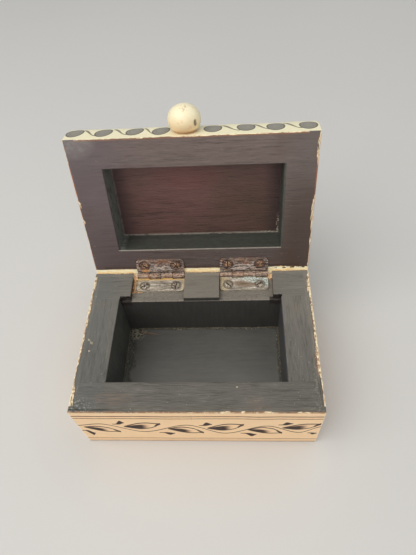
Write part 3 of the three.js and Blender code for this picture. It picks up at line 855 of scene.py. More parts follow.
def circle_row(across, up, centres, radius_x, radius_y, lean):
    """Filled ovals with a darker rim and a fainter inner line. Returns the fill and the lines."""
    fill = rim = None
    for centre_x, centre_z in centres:
        dx = across - centre_x
        dz = up - centre_z - dx * lean
        r = apart(dx / radius_x, dz / radius_y)
        disc = r.rise(1.05, 0.97)
        ring = r.near(0.93, 0.08, 0.06) | r.near(0.58, 0.05, 0.08) * 0.4
        fill = disc if fill is None else fill | disc
        rim = ring if rim is None else rim | ring
    return fill, rim


def joined_curves(across, up, curves):
    """Thin S-shaped strokes, each falling from one point to the next."""
    ink = None
    for (x0, z0), (x1, z1) in curves:
        s = (across - x0) / (x1 - x0)
        inside = (s | 0) & 1
        path = inside.rise(0, 0.9) * (z1 - z0) + z0
        half = inside.rise(0, 0.25) * inside.rise(0.75, 0.35) * 0.6 + 0.36
        stroke = abs(up - path).rise(half + 0.35, half - 0.15) * s.rise(-0.05, 0.05) * s.rise(1.05, 0.95)
        ink = stroke if ink is None else ink | stroke
    return ink


# The lid's front edge: ovals as (along, height above the inner face) and the strokes between them
LID_OVALS = [
    (-53, 7.9),
    (-39.6, 7.3),
    (-25.4, 7.8),
    (-13.3, 7),
    (10, 7.8),
    (24.8, 7.9),
    (37.9, 7.4),
    (52.2, 7.3),
]
LID_STROKES = [
    ((-49.6, 11.2), (-42.2, 4)),
    ((-35.6, 11.2), (-28, 4.2)),
    ((-21.6, 11.2), (-15.8, 4)),
    ((13.4, 10.8), (22.2, 4.2)),
    ((27.6, 11), (35.8, 4.4)),
    ((41.4, 10.9), (49.4, 4.2)),
]


def lid_pattern(across, up, front):
    """The ovals and strokes of one side of the lid: the front's own, or a regular row."""
    if not front:
        place = repeated(across, OVAL_PITCH, -OVAL_PITCH / 2)
        fill, rim = circle_row(place, up, [(OVAL_PITCH / 2, 7.7)], 4.1, 4.4, 0.1)
        ends = ((10.6, 11), (15.4, 3.6)), ((-2.4, 11), (2.4, 3.6))
        return fill, rim, joined_curves(place, up, ends)
    fill, rim = circle_row(across, up, LID_OVALS[:4], 4, 4.7, 0.22)
    fill_right, rim_right = circle_row(across, up, LID_OVALS[4:], 4.1, 4.6, 0.03)
    return fill | fill_right, rim | rim_right, joined_curves(across, up, LID_STROKES)


def lid_bone_finish(colours, name, face):
    """Bone of the lid's edges: grey ovals and thin strokes outside, worn paint on the inner face."""
    finish = Finish(name, lid=True)
    x, y, z = finish.x, finish.y, finish.z
    along_side = face in ("left", "right")
    across = y if along_side else x
    bone, height = bone_grain(finish, colours.lid_bone, "y" if along_side else "x")
    up = z - LID_FACE
    fill, rim, strokes = lid_pattern(across, up, face == "front")
    if along_side:
        end = lid_pattern(x, up, True)
        from_side = HALF_WIDTH - abs(x)
        at_end = (from_side - (y - FRONT)).rise(-0.05, 0.05) | (from_side - (BACK - y)).rise(-0.05, 0.05)
        pairs = zip(end, (fill, rim, strokes))
        fill, rim, strokes = (one * at_end + two * (1 - at_end) for one, two in pairs)
    clouded = finish.noise((0.5, 0.5, 0.9), 101, 3)
    # The ovals' grey: their dark paint with a painted sheen.
    grey = finish.shade(colours.oval_ink_and_sheen, clouded * 0.45 + 0.78)
    drawn = bone.lay(fill * 0.97, grey)
    drawn = drawn.lay(rim * 0.75, 84, 80, 70)
    drawn = drawn.lay(strokes * (1 - fill) * 0.85, 106, 98, 82)
    border = ((BACK - abs(y)) & (HALF_WIDTH - abs(x))).near(6.4, 0.25, 0.2) * up.rise(15.5, 16.8)
    drawn = drawn.lay(border * 0.6, 128, 108, 84)
    paint, relief, _ = lid_grain(finish, colours)
    inner = up.rise(0.34, 0.16)
    chips = 0
    if face == "front":
        distance, reach = y - FRONT, 0.28
        chips = x.near(-22, 1.5, 0.8) | x.near(2.5, 1.2, 0.6) | x.near(47, 2, 1)
    elif face == "left":
        distance, reach = x + HALF_WIDTH, 0.24
        chips = y.near(-5.8, 1.6, 0.8) * 2.6 | y.near(4, 1.1, 0.7) * 1.9
    elif face == "right":
        distance, reach = HALF_WIDTH - x, 0.38
        chips = y.near(2, 7, 4) | y.near(-31, 7, 3) * 1.7
    else:
        distance, reach = BACK - y + 9, 0.1
    surface, cover = painted_end(
        finish, drawn, paint, distance, across, 113 + len(face), inner, reach, chips
    )
    if face == "front":
        line = (distance - 0.62).near(0, 0.16, 0.24) * finish.wander(x, 0.12, 123).rise(0.3, 0.5) * inner
        surface = surface.lay(line * 0.75, 182, 122, 72)
    if face in ("left", "right"):
        glow = (distance - 0.3).rise(0.5, -0.3) * finish.wander(y, 0.2, 121).rise(0.45, 0.6) * inner
        glow = glow | (distance - 0.5).rise(0.4, -0.2) * y.near(-18, 8, 4) * inner
        surface = surface.lay(glow * 0.7, 190, 112, 68)
    if face != "front":
        ragged = finish.wander(x, 0.45, 105, 4) - 0.5
        right = x.rise(34, 42)
        edge = y - 34.45 - ragged * (right * 3 + 0.6) + right * 0.2
        strip_here = edge.rise(-0.1, 0.15) * inner
        fibres = finish.noise((0.35, 1.6, 1.6), 108, 4)
        strip = finish.mix(fibres.rise(0.4, 0.72), tint(255, 253, 222), tint(250, 218, 150))
        crack = finish.wander(x, 0.5, 111).rise(0.5, 0.56) * (y - 35.2 + ragged * 1.5).near(0, 0.4, 0.25)
        strip = strip.lay(crack * right * 0.95, 40, 28, 22)
        surface = surface.lay(strip_here, strip)
        surface = surface.lay(edge.near(-0.05, 0.16, 0.16) * inner * 0.8, 104, 66, 40)
        cover = cover * (1 - strip_here)
    return finish.done(surface, cover * 0.18 + 0.36, height * (1 - cover) + relief * cover, 0.16)


def lid_top_finish(colours):
    """The lid's outer plates: cream bone with ruled borders and the scroll between them."""
    finish = Finish("lid_top_bone", lid=True)
    x, y = finish.x, finish.y
    bone, height = bone_grain(finish, colours.lid_bone, "x")
    from_side, from_end = HALF_WIDTH - abs(x), BACK - abs(y)
    inward = from_side & from_end
    lines = inward.near(8.4, 0.25, 0.18) | inward.near(9.6, 0.18, 0.16) | inward.near(27.4, 0.18, 0.16)
    long_place = repeated(x, SCROLL_PITCH, -57)
    side_place = repeated(y, SCROLL_PITCH, -38)
    long_way = (from_side - from_end).rise(-0.1, 0.1)
    long_ink = drawn_scroll(long_place, inward, REPEAT_LEAVES, REPEAT_BUDS, REPEAT_STEM)
    side_ink = drawn_scroll(side_place, inward, REPEAT_LEAVES, REPEAT_BUDS, REPEAT_STEM)
    ink = long_ink * long_way + side_ink * (1 - long_way)
    from_corner = abs(from_side - ROSETTE_IN) | abs(from_end - ROSETTE_IN)
    square = from_corner.near(8.6, 0.18, 0.16)
    lines = lines | square * inward.rise(9.4, 9.8)
    rosette = apart(from_side - ROSETTE_IN, from_end - ROSETTE_IN)
    petals = ((from_side - ROSETTE_IN) * (from_end - ROSETTE_IN)) / (rosette * rosette + 0.2)
    flower = rosette.rise(5.6, 5) * (abs(petals) * 7.4 - rosette).rise(-0.4, 0.5)
    flower = flower * rosette.rise(0.8, 4.6) | flower * 0.25
    flower = flower | rosette.near(0, 0.9, 0.3) | rosette.near(6.6, 0.16, 0.2)
    ink = ink * from_corner.rise(8.4, 9) | flower * from_corner.rise(8.4, 8)
    drawn = bone.lay(lines * 0.7, 140, 104, 76)
    drawn = drawn.lay(ink.rise(0.12, 0.85) * inward.rise(9.8, 10.4), colours.ink)
    return finish.done(drawn, 0.36, height, 0.1)


def knob_finish():
    """The knob: polished cream bone, warmer near its seat as painted shade, with painted shade in its
    pit and a few stains and pores.
    """
    finish = Finish("knob_bone", lid=True)
    bone, height = bone_grain(finish, tint(255, 244, 206), "x")
    # Painted shade: warm and darker low down near the seat.
    seat = finish.y.rise(-49, -40)
    low = (finish.z - LID_FACE).rise(7.5, 0)
    bone = bone.lay((seat * low) * 0.55, 236, 178, 104)
    ring = finish.y.rise(-41.2, -39.7)
    bone = bone.lay(ring * 0.8, 168, 112, 66)
    stain = finish.noise((0.4, 0.4, 0.4), 131, 3).rise(0.58, 0.7)
    bone = bone.lay(stain * 0.35, 236, 186, 140)
    spots = finish.noise((1.1, 1.1, 1.1), 134, 2).rise(0.5, 0.6)
    near_top = apart(finish.x + 1.6, finish.y + 50.4, finish.z - 42.7)
    bone = bone.lay(near_top.rise(3.4, 1.2) * spots * 0.5, 206, 158, 128)
    # Painted shade in the pit.
    pit = apart((finish.x - 2.78) / 0.75, (finish.y + 44) / 1.4, (finish.z - 40.9) / 0.9)
    bone = bone.lay(pit.rise(1.25, 0.8) * 0.85, 118, 106, 82)
    return finish.done(bone, 0.3, height, 0.06)


class Steel:
    """What the finishes of the upper and lower leaves share: the grain of old pressed steel."""

    def __init__(self, colours, name, lid=False):
        self.finish = finish = Finish(name, lid=lid)
        self.colours = colours
        self.streak = finish.noise((0.22, 0.9, 0.9), 141, 5, 0.65, at=finish.grain("x", 0.3))
        self.blotch = finish.noise((0.3, 0.4, 0.4), 145, 3, 0.6)
        self.grit = finish.noise((0.9, 1.5, 1.5), 147, 4, 0.7)
        self.mottle = self.streak * 0.5 + self.grit * 0.5
        self.glint = self.mottle.rise(0.5, 0.59)
        self.orange = self.blotch.rise(0.5, 0.62) * self.grit.rise(0.3, 0.55)
        self.above = finish.z - HINGE_LINE.z / MM
        self.ahead = HINGE_LINE.y / MM - finish.y
        self.barrel = apart(self.ahead, self.above).rise(2.1, 1.85)

    def skin(self, facing):
        """Rust, tarnish and high places rubbed bright with painted glints, with a painted gleam where
        the barrel faces the light and painted shade under it.
        """
        mottle, barrel, dark = self.mottle, self.barrel, self.colours.dark_steel
        surface = self.finish.mix(mottle.rise(0.4, 0.5), dark, self.colours.old_steel)
        surface = surface.lay(self.orange * 0.9, self.colours.rust)
        # Painted glints on the high places.
        surface = surface.lay(self.glint * (0.95 - barrel * 0.35), 236, 218, 204)
        surface = surface.lay(mottle.rise(0.43, 0.36) * 0.8, 40, 28, 25)
        gleam = facing.rise(1.2, 1.64) * (mottle.rise(0.42, 0.55) * 0.62 + 0.04)
        surface = surface.lay(gleam * barrel, 196, 160, 130)
        # Painted shade on the barrel's underside.
        return surface.lay(facing.rise(1.3, 0.3) * barrel * 0.7, dark)

    def knuckles(self, surface, along):
        """Dark joints between the barrel's knuckles."""
        for part in (-1, 0, 1):
            joint = (along - part * LEAF_LENGTH / 4).near(0, 0.14, 0.14) * self.barrel
            surface = surface.lay(joint * 0.9, 34, 26, 24)
        return surface

    def done(self, surface):
        roughness, relief = 0.42 + self.grit * 0.25, self.mottle * 2.2 + self.blotch * 0.5
        return self.finish.done(surface, roughness, relief, 0.3, metallic=0.3 - self.orange * 0.25)


def upper_leaf_finish(colours):
    """The upper leaves: bright between the screws, rubbed and with a painted highlight, brown towards
    the barrel.
    """
    steel = Steel(colours, "upper_leaf_steel", lid=True)
    x, y = steel.finish.x, steel.finish.y
    mottle, blotch, flat = steel.mottle, steel.blotch, 1 - steel.barrel
    surface = steel.skin(steel.ahead * 0.631 - steel.above * 0.776)
    for centre in LEAF_CENTRES.values():
        along = x - centre
        # A painted highlight, with rubbed steel, between the screws.
        rubbed_and_highlight = oval(along, 0, 7.5, y, 33.6, 1.7).rise(1.7, 0.4) * flat
        surface = surface.lay(rubbed_and_highlight * mottle.rise(0.43, 0.53) * 0.85, 232, 214, 202)
        brown = (y - 30.6).rise(1.2, -1) * abs(along).rise(7, 4)
        surface = surface.lay(brown * blotch.rise(0.36, 0.56) * 0.6, 156, 104, 74)
        dusk = (abs(along) - 5.5).rise(0, 2.5) * flat
        surface = surface.lay(dusk * blotch.rise(0.6, 0.4) * 0.25, colours.dark_steel)
        surface = steel.knuckles(surface, along)
        for shift in (-SCREW_SHIFT, SCREW_SHIFT):
            r = apart(along - shift, y - UPPER_SCREW_Y)
            # Painted shadow round each screw head, and a painted highlight arc outside it.
            surface = surface.lay(r.near(2.75, 0.3, 0.35) * 0.85, 44, 32, 28)
            surface = surface.lay(r.near(3.45, 0.12, 0.25) * steel.glint * 0.7, 206, 170, 132)
    patch = oval(x, -29.5, 2.4, y, 35, 0.9).rise(1.4, 0.5)
    surface = surface.lay(patch * steel.grit.rise(0.2, 0.5) * 0.9, 240, 176, 116)
    # A painted highlight along the leaf's upper edge.
    upper_edge_highlight = (y - (UPPER_SCREW_Y - 3.4)).near(0, 0.2, 0.2)
    return steel.done(surface.lay(upper_edge_highlight * 0.6, 150, 128, 114))


def lower_leaf_finish(colours, side):
    """A lower leaf with painted highlights on its plate and painted shadow round its screws: rubbed and
    stained at the left, under pale corrosion at the right.
    """
    steel = Steel(colours, f"lower_{side}_steel")
    finish, y = steel.finish, steel.finish.y
    streak, blotch, grit, mottle = steel.streak, steel.blotch, steel.grit, steel.mottle
    along = finish.x - LEAF_CENTRES[side]
    surface = steel.knuckles(steel.skin(steel.ahead * 0.6 + steel.above * 0.8), along)
    plate = finish.z.rise(37.3, 36.8)
    pale = finish.shade(tint(180, 169, 152), streak * 3 - 0.45)
    # Painted highlights on the pale plate.
    lit = pale.lay(mottle.rise(0.52, 0.6) * 0.9, 244, 236, 222)
    lit = lit.lay(mottle.rise(0.455, 0.37) * 0.8, 76, 64, 56)
    if side == "left":
        lit = lit.lay((y - 34.9 + (grit - 0.5) * 1.6).rise(-0.3, 0.4) * 0.8, 232, 190, 112)
        lit = lit.lay((along - 11.7).rise(-0.3, 0.3) * 0.7, 226, 200, 150)
        lit = lit.lay((along + 9.5 + (blotch - 0.5) * 9).rise(1, -1) * 0.4, 178, 156, 116)
    else:
        smooth = oval(along, 0.5, 6, y, 32, 2).rise(1.5, 0.5)
        lit = lit.lay(smooth * 0.8, finish.shade(tint(146, 122, 98), streak * 1.2 + 0.4))
        spread = (along - 2) / 7 + (y - 32.6) * 0.42 + (blotch - 0.5) * 2.4
        crust = spread.rise(0.1, 0.8) * (grit.rise(0.3, 0.46) * 0.5 + 0.5)
        pale_crust = finish.mix(grit.rise(0.38, 0.52), tint(126, 136, 126), colours.corrosion)
        pale_crust = pale_crust.lay(grit.rise(0.5, 0.58) * 0.8, 244, 250, 242)
        lit = lit.lay(crust * 0.95, pale_crust)
        lit = lit.lay((along + 8).rise(1, -2) * grit.rise(0.38, 0.58) * 0.65, 216, 192, 136)
    surface = surface.lay(plate * 0.95, lit)
    for shift in (-SCREW_SHIFT, SCREW_SHIFT):
        r = apart(along - shift, y - SCREW_Y)
        # Painted shadow round each screw head.
        surface = surface.lay(r.near(2.6, 0.22, 0.3) * plate * 0.8, 62, 50, 42)
    return steel.done(surface)


def screw_finish(colours, name, lid=False):
    """The screw heads: painted shade in the slot and at the rim, a painted highlight on the dome."""
    finish = Finish(name, lid=lid)
    grit = finish.noise((1.1, 1.4, 1.4), 181, 4, 0.7)
    blotch = finish.noise((0.35, 0.35, 0.35), 185, 2)
    dull = tint(146, 112, 92) if lid else tint(164, 150, 130)
    bright = tint(220, 180, 146) if lid else tint(226, 216, 196)
    surface = finish.mix(grit.rise(0.4, 0.56), colours.dark_steel, dull)
    surface = surface.lay(blotch.rise(0.5, 0.62) * 0.6, colours.rust if lid else tint(150, 128, 100))
    rise = UPPER_DOME_FOOT - finish.z if lid else finish.z - LOWER_DOME_FOOT
    # A painted highlight on the dome.
    surface = surface.lay(rise.rise(0.1, 0.26) * grit.rise(0.44, 0.58) * 0.85, bright)
    # Painted shade at the rim and in the slot.
    surface = surface.lay(rise.rise(0.02, -0.1) * 0.85, 44, 34, 30)
    return finish.done(surface, 0.42, grit, 0.25, metallic=0.35)


def pin_finish():
    """The hinge pins: the ends are rubbed bright."""
    finish = Finish("pin_steel")
    grit = finish.noise((1.5, 1.5, 1.5), 151, 3)
    surface = finish.mix(grit.rise(0.4, 0.6), tint(150, 118, 84), tint(236, 206, 150))
    return finish.done(surface, 0.4, grit, 0.1, metallic=0.5)


def glue_finish():
    """Old dark glue with dust in it."""
    finish = Finish("old_glue")
    grit = finish.noise((1.2, 1.2, 1.2), 161, 4, 0.7)
    surface = finish.mix(grit.rise(0.4, 0.68), tint(60, 58, 50), tint(132, 120, 94))
    return finish.done(surface, 0.55, grit, 0.25)


def peg_finish(colours):
    """The knob's wooden peg."""
    finish = Finish("peg_wood", lid=True)
    grain = finish.noise((2, 0.15, 2), 171, 4)
    surface = finish.shade(colours.raw_wood, grain * 0.6 + 0.6)
    return finish.done(surface, 0.6, grain, 0.1)


# Modelling helpers


def choose(*objects):
    """Only these objects are selected, and the first is active."""
    if bpy.context.mode != "OBJECT":
        bpy.ops.object.mode_set(mode="OBJECT")
    bpy.ops.object.select_all(action="DESELECT")
    for item in objects:
        item.select_set(True)
    bpy.context.view_layer.objects.active = objects[0]


def turn(piece, matrix):
    """Turns a piece with the lid and applies the turn."""
    choose(piece)
    piece.matrix_world = matrix
    bpy.ops.object.transform_apply(location=True, rotation=True, scale=True)


def solid_copy(node, name, lid=False):
    """A merged copy of a node's solid with whole faces, turned shut where it belongs to the lid."""
    choose(frame["nodes"][node])
    bpy.ops.object.duplicate()
    piece = bpy.context.active_object
    bpy.ops.object.parent_clear(type="CLEAR_KEEP_TRANSFORM")
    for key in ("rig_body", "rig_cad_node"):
        del piece[key]
    piece.name = piece.data.name = name
    piece.data.materials.clear()
    if lid:
        turn(piece, SHUT)
    bpy.ops.object.mode_set(mode="EDIT")
    bpy.ops.mesh.select_all(action="SELECT")
    bpy.ops.mesh.remove_doubles(threshold=1e-6)
    bpy.ops.mesh.dissolve_limited(angle_limit=math.radians(0.6))
    bpy.ops.object.mode_set(mode="OBJECT")
    return piece


def pick(piece, wanted):
    """Opens the piece in edit mode with the vertices selected that the test wants, in millimetres."""
    choose(piece)
    bpy.ops.object.mode_set(mode="EDIT")
    bpy.ops.mesh.select_mode(type="VERT")
    bpy.ops.mesh.select_all(action="DESELECT")
    mesh = bmesh.from_edit_mesh(piece.data)
    for vertex in mesh.verts:
        vertex.select_set(bool(wanted(vertex.co / MM)))
    mesh.select_flush_mode()
    bmesh.update_edit_mesh(piece.data)


def close_joint(piece, axis, here, there):
    """Slides the vertices in one plane, so that the piece meets its neighbour under the paint."""
    pick(piece, lambda place: abs(place[axis] - here) < SAME_PLACE)
    step = Vector((0, 0, 0))
    step[axis] = (there - here) * MM
    bpy.ops.transform.translate(value=step)
    bpy.ops.object.mode_set(mode="OBJECT")


def split(piece, axis, *places):
    """Cuts the faces at planes across an axis, given in millimetres."""
    choose(piece)
    bpy.ops.object.mode_set(mode="EDIT")
    for place in places:
        bpy.ops.mesh.select_all(action="SELECT")
        point = [0, 0, 0]
        normal = [0, 0, 0]
        point[axis], normal[axis] = place * MM, 1
        bpy.ops.mesh.bisect(plane_co=point, plane_no=normal)
    bpy.ops.object.mode_set(mode="OBJECT")


def soften(piece, width, segments, wanted):
    """Bevels the edges whose two ends the test wants. The test takes points in millimetres."""
    choose(piece)
    bpy.ops.object.mode_set(mode="EDIT")
    bpy.ops.mesh.select_mode(type="EDGE")
    bpy.ops.mesh.select_all(action="DESELECT")
    mesh = bmesh.from_edit_mesh(piece.data)
    for edge in mesh.edges:
        first, second = (v.co / MM for v in edge.verts)
        sharp = edge.is_manifold and edge.calc_face_angle(0) > STEEP
        edge.select_set(bool(sharp and wanted(first, second)))
    bmesh.update_edit_mesh(piece.data)
    bpy.ops.mesh.bevel(offset=width, segments=segments, profile=0.5, affect="EDGES")
    bpy.ops.object.mode_set(mode="OBJECT")


def level(value, axis):
    """A test that an edge lies in one plane across an axis."""
    return lambda a, b: max(abs(a[axis] - value), abs(b[axis] - value)) < SAME_PLACE


def apply_modifier(piece, kind, **settings):
    choose(piece)
    modifier = piece.modifiers.new(kind.title(), kind)
    for key, value in settings.items():
        setattr(modifier, key, value)
    bpy.ops.object.modifier_apply(modifier=modifier.name)


def break_edges(piece, width, degrees):
    """Bevels every edge steeper than this."""
    angle = math.radians(degrees)
    apply_modifier(piece, "BEVEL", width=width, segments=2, limit_method="ANGLE", angle_limit=angle)


def roughen(piece, name, size, strength, middle):
    """Pushes the surface in and out by soft clouds of this size."""
    clouds = bpy.data.textures.new(name, "CLOUDS")
    clouds.noise_scale = size
    settings = {"texture": clouds, "mid_level": middle, "texture_coords": "LOCAL"}
    apply_modifier(piece, "DISPLACE", strength=strength, **settings)


def block(middle, half):
    """A closed block about a place in metres, with its half sizes in millimetres."""
    bpy.ops.object.select_all(action="DESELECT")
    bpy.ops.mesh.primitive_cube_add(size=2 * MM, location=middle)
    made = bpy.context.active_object
    made.scale = half
    bpy.ops.object.transform_apply(location=True, rotation=False, scale=True)
    return made


def combine(piece, tool, operation, **settings):
    """Cuts the piece with a closed tool, both as triangles, so that no bent face leaves a stray."""
    for part in (piece, tool):
        apply_modifier(part, "TRIANGULATE")
    apply_modifier(piece, "BOOLEAN", operation=operation, object=tool, solver="EXACT", **settings)
    bpy.data.objects.remove(tool)


def settle(piece, body, node, material, lid=False, angle=32):
    """Shades the piece, turns it back to where it rests, and lets it stand for its node."""
    if lid:
        turn(piece, OPENED)
    choose(piece)
    bpy.ops.object.shade_smooth_by_angle(angle=math.radians(angle))
    bpy.ops.object.mode_set(mode="EDIT")
    bpy.ops.mesh.select_mode(type="EDGE")
    bpy.ops.mesh.select_all(action="DESELECT")
    bpy.ops.mesh.edges_select_sharp(sharpness=math.radians(angle))
    bpy.ops.mesh.mark_sharp()
    bpy.ops.object.mode_set(mode="OBJECT")
    apply_modifier(piece, "WEIGHTED_NORMAL", keep_sharp=True, weight=80)
    piece.data.materials.clear()
    piece.data.materials.append(material)
    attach(piece, body)
    if node:
        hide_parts(node)
    return piece


def paint_node(node, material):
    """Gives a node's own object a finish."""
    target = frame["nodes"][node]
    if not target.material_slots:
        target.data.materials.append(material)
    for place in target.material_slots:
        place.material = material


class TRINKETBOX_OT_base_rails(bpy.types.Operator):
    """Makes the four painted rails round the well"""

    bl_idname = "trinket_box.base_rails"
    bl_label = "Base rails"
    bl_options = {"REGISTER", "UNDO"}

    def execute(self, context):
        sizes = context.scene.trinket_box_sizes
        colours = context.scene.trinket_box_colours
        along = rim_finish(colours, "rim_paint_along", "x")
        across = rim_finish(colours, "rim_paint_across", "y")
        width = sizes.rail_round

        front = solid_copy("base_front_rail", "front_rail")
        close_joint(front, Y, FRONT_RAIL[0][1], BONE_INSIDE_FRONT)
        self.close_ends(front)
        split(front, X, -WELL_X, WELL_X)
        soften(front, width, 3, self.well_edge(WELL_FRONT))
        settle(front, "base", "base_front_rail", along)

        for side, sign in (("left", -1), ("right", 1)):
            rail = solid_copy(f"base_{side}_rail", f"{side}_rail")
            low, high = rest_box(f"base_{side}_rail")
            outer = low[0] if sign < 0 else high[0]
            close_joint(rail, X, outer, sign * BONE_INSIDE_SIDE)
            close_joint(rail, Y, low[1], WELL_FRONT)
            close_joint(rail, Y, high[1], WELL_BACK)
            inner = level(sign * WELL_X, X)
            soften(rail, width, 3, lambda a, b: inner(a, b) and level(RIM, Z)(a, b))
            settle(rail, "base", f"base_{side}_rail", across)

        back = solid_copy("base_back_rail", "back_rail")
        close_joint(back, Y, BACK_RAIL[1][1], BONE_INSIDE_BACK)
        self.close_ends(back)
        split(back, X, -WELL_X, WELL_X)
        well_edge = self.well_edge(WELL_BACK)
        sunk = min(c.co.z / MM for c in back.data.vertices if c.co.z / MM > RIM - 6)

        def wanted(a, b):
            inside = max(abs(a.x), abs(b.x)) < WELL_X + SAME_PLACE
            tongue = level(sunk, Z)(a, b) and level(WELL_BACK, Y)(a, b)
            side = level(RIM, Z)(a, b) and abs(a.x - b.x) < SAME_PLACE and abs(a.x) < WELL_X - 1
            return well_edge(a, b) or (inside and tongue) or side

        soften(back, width, 3, wanted)
        self.rough_cuts(back)
        settle(back, "base", "base_back_rail", back_rail_finish(colours))
        return {"FINISHED"}

    @staticmethod
    def close_ends(rail):
        outer = FRONT_RAIL[1][0]
        close_joint(rail, X, -outer, -BONE_INSIDE_SIDE)
        close_joint(rail, X, outer, BONE_INSIDE_SIDE)

    @staticmethod
    def well_edge(y):
        """The rail's top edge along the well."""

        def wanted(a, b):
            inside = max(abs(a.x), abs(b.x)) < WELL_X + SAME_PLACE
            return inside and level(RIM, Z)(a, b) and level(y, Y)(a, b)

        return wanted

    @staticmethod
    def rough_cuts(rail):
        """Ragged bites where the mortises were sawn into the well's back corners."""
        for index, (x, half) in enumerate(SAW_CUTS):
            place = Vector((x, WELL_BACK - 0.6, RIM - 0.4)) * MM
            bite = block(place, (half, 1.9, 3.4))
            bpy.ops.object.mode_set(mode="EDIT")
            bpy.ops.mesh.subdivide(number_cuts=9)
            bpy.ops.object.mode_set(mode="OBJECT")
            roughen(bite, f"bite_{index}", size=1.3 * MM, strength=1.5 * MM, middle=0.5)
            combine(rail, bite, "DIFFERENCE")


class TRINKETBOX_OT_well_floor(bpy.types.Operator):
    """Makes the well's floor and the old glue along its edges"""

    bl_idname = "trinket_box.well_floor"
    bl_label = "Well floor"
    bl_options = {"REGISTER", "UNDO"}

    def execute(self, context):
        sizes = context.scene.trinket_box_sizes
        colours = context.scene.trinket_box_colours
        floor = solid_copy("base_floor", "well_floor")
        close_joint(floor, X, FLOOR[0][0], -WELL_X)
        close_joint(floor, X, FLOOR[1][0], WELL_X)
        close_joint(floor, Y, FLOOR[0][1], WELL_FRONT)
        close_joint(floor, Y, FLOOR[1][1], WELL_BACK)
        soften(floor, sizes.rail_round * 0.6, 2, level(WELL_FLOOR, Z))
        settle(floor, "base", "base_floor", well_floor_finish(colours))

        glue = glue_finish()
        beads = {
            "left": ((-WELL_X, WELL_FRONT), (-WELL_X, WELL_BACK), 1),
            "back": ((-WELL_X, WELL_BACK), (WELL_X, WELL_BACK), 0.6),
            "right": ((WELL_X, WELL_FRONT), (WELL_X, WELL_BACK), 0.7),
        }
        for end, (first, last, share) in beads.items():
            bead = self.bead(f"glue_bead_{end}", first, last, sizes.glue_bead * share)
            settle(bead, "base", None, glue, angle=60)
        return {"FINISHED"}

    @staticmethod
    def bead(name, first, last, radius):
        """A lumpy bead in the corner between the floor and a wall, cut off flush with both."""
        a = Vector((*first, WELL_FLOOR)) * MM
        b = Vector((*last, WELL_FLOOR)) * MM
        run, middle = b - a, (a + b) / 2
        bpy.ops.object.select_all(action="DESELECT")
        turn = (0, math.pi / 2, math.atan2(run.y, run.x))
        bpy.ops.mesh.primitive_cylinder_add(
            vertices=12, radius=radius, depth=run.length, location=middle, rotation=turn
        )
        bead = bpy.context.active_object
        bpy.ops.object.transform_apply(location=True, rotation=True, scale=True)
        bead.name = bead.data.name = name
        axis = X if abs(run.x) > abs(run.y) else Y
        count = int(run.length / MM / 0.8)
        low = min(a[axis], b[axis]) / MM
        split(bead, axis, *(low + (i + 1) * run.length / MM / (count + 1) for i in range(count)))
        roughen(bead, name, size=2.2 * MM, strength=2.2 * radius, middle=0.62)
        half = Vector((2, 2, 2))
        half[axis] = run.length / MM / 2
        in_wall = 0.4
        outward = 1 if first[1 - axis] > 0 else -1
        middle[1 - axis] += outward * (in_wall - 2) * MM
        middle.z += (2 - in_wall) * MM
        combine(bead, block(middle, half), "INTERSECT", use_self=True)
        return bead


class TRINKETBOX_OT_base_plates(bpy.types.Operator):
    """Makes the base's six bone plates"""

    bl_idname = "trinket_box.base_plates"
    bl_label = "Base bone plates"
    bl_options = {"REGISTER", "UNDO"}

    def execute(self, context):
        sizes = context.scene.trinket_box_sizes
        colours = context.scene.trinket_box_colours
        finishes = {
            face: base_bone_finish(colours, f"warm_lit_base_bone_{face}", face)
            for face in ("front", "back", "left", "right")
        }
        width = sizes.plate_round
        for row, outer in (("front", FRONT), ("back", BACK)):
            for end in ("left", "right"):
                node = f"base_{row}_bone_{end}"
                plate = solid_copy(node, f"{row}_plate_{end}")
                plate_end = PLATE_SEAM + (-HALF_GLUE_LINE if end == "left" else HALF_GLUE_LINE)
                in_face = level(outer, Y)
                at_end = level(-HALF_WIDTH if end == "left" else HALF_WIDTH, X)
                inner = level(BONE_INSIDE_FRONT if row == "front" else BONE_INSIDE_BACK, Y)
                seam = level(plate_end, X)

                def wanted(*ends, in_face=in_face, at_end=at_end, inner=inner, seam=seam):
                    return (in_face(*ends) or at_end(*ends)) and not inner(*ends) and not seam(*ends)

                soften(plate, width, 3, wanted)
                close_joint(plate, X, plate_end, PLATE_SEAM)
                settle(plate, "base", node, finishes[row])
        for side, sign in (("left", -1), ("right", 1)):
            node = f"base_{side}_bone"
            plate = solid_copy(node, f"{side}_plate")
            close_joint(plate, Y, SIDE_PLATE[0][1], BONE_INSIDE_FRONT)
            close_joint(plate, Y, SIDE_PLATE[1][1], BONE_INSIDE_BACK)
            outer = level(sign * HALF_WIDTH, X)

            def wanted(a, b, outer=outer):
                return outer(a, b) and abs(a.y - b.y) > 1

            soften(plate, width, 3, wanted)
            settle(plate, "base", node, finishes[side])
        return {"FINISHED"}


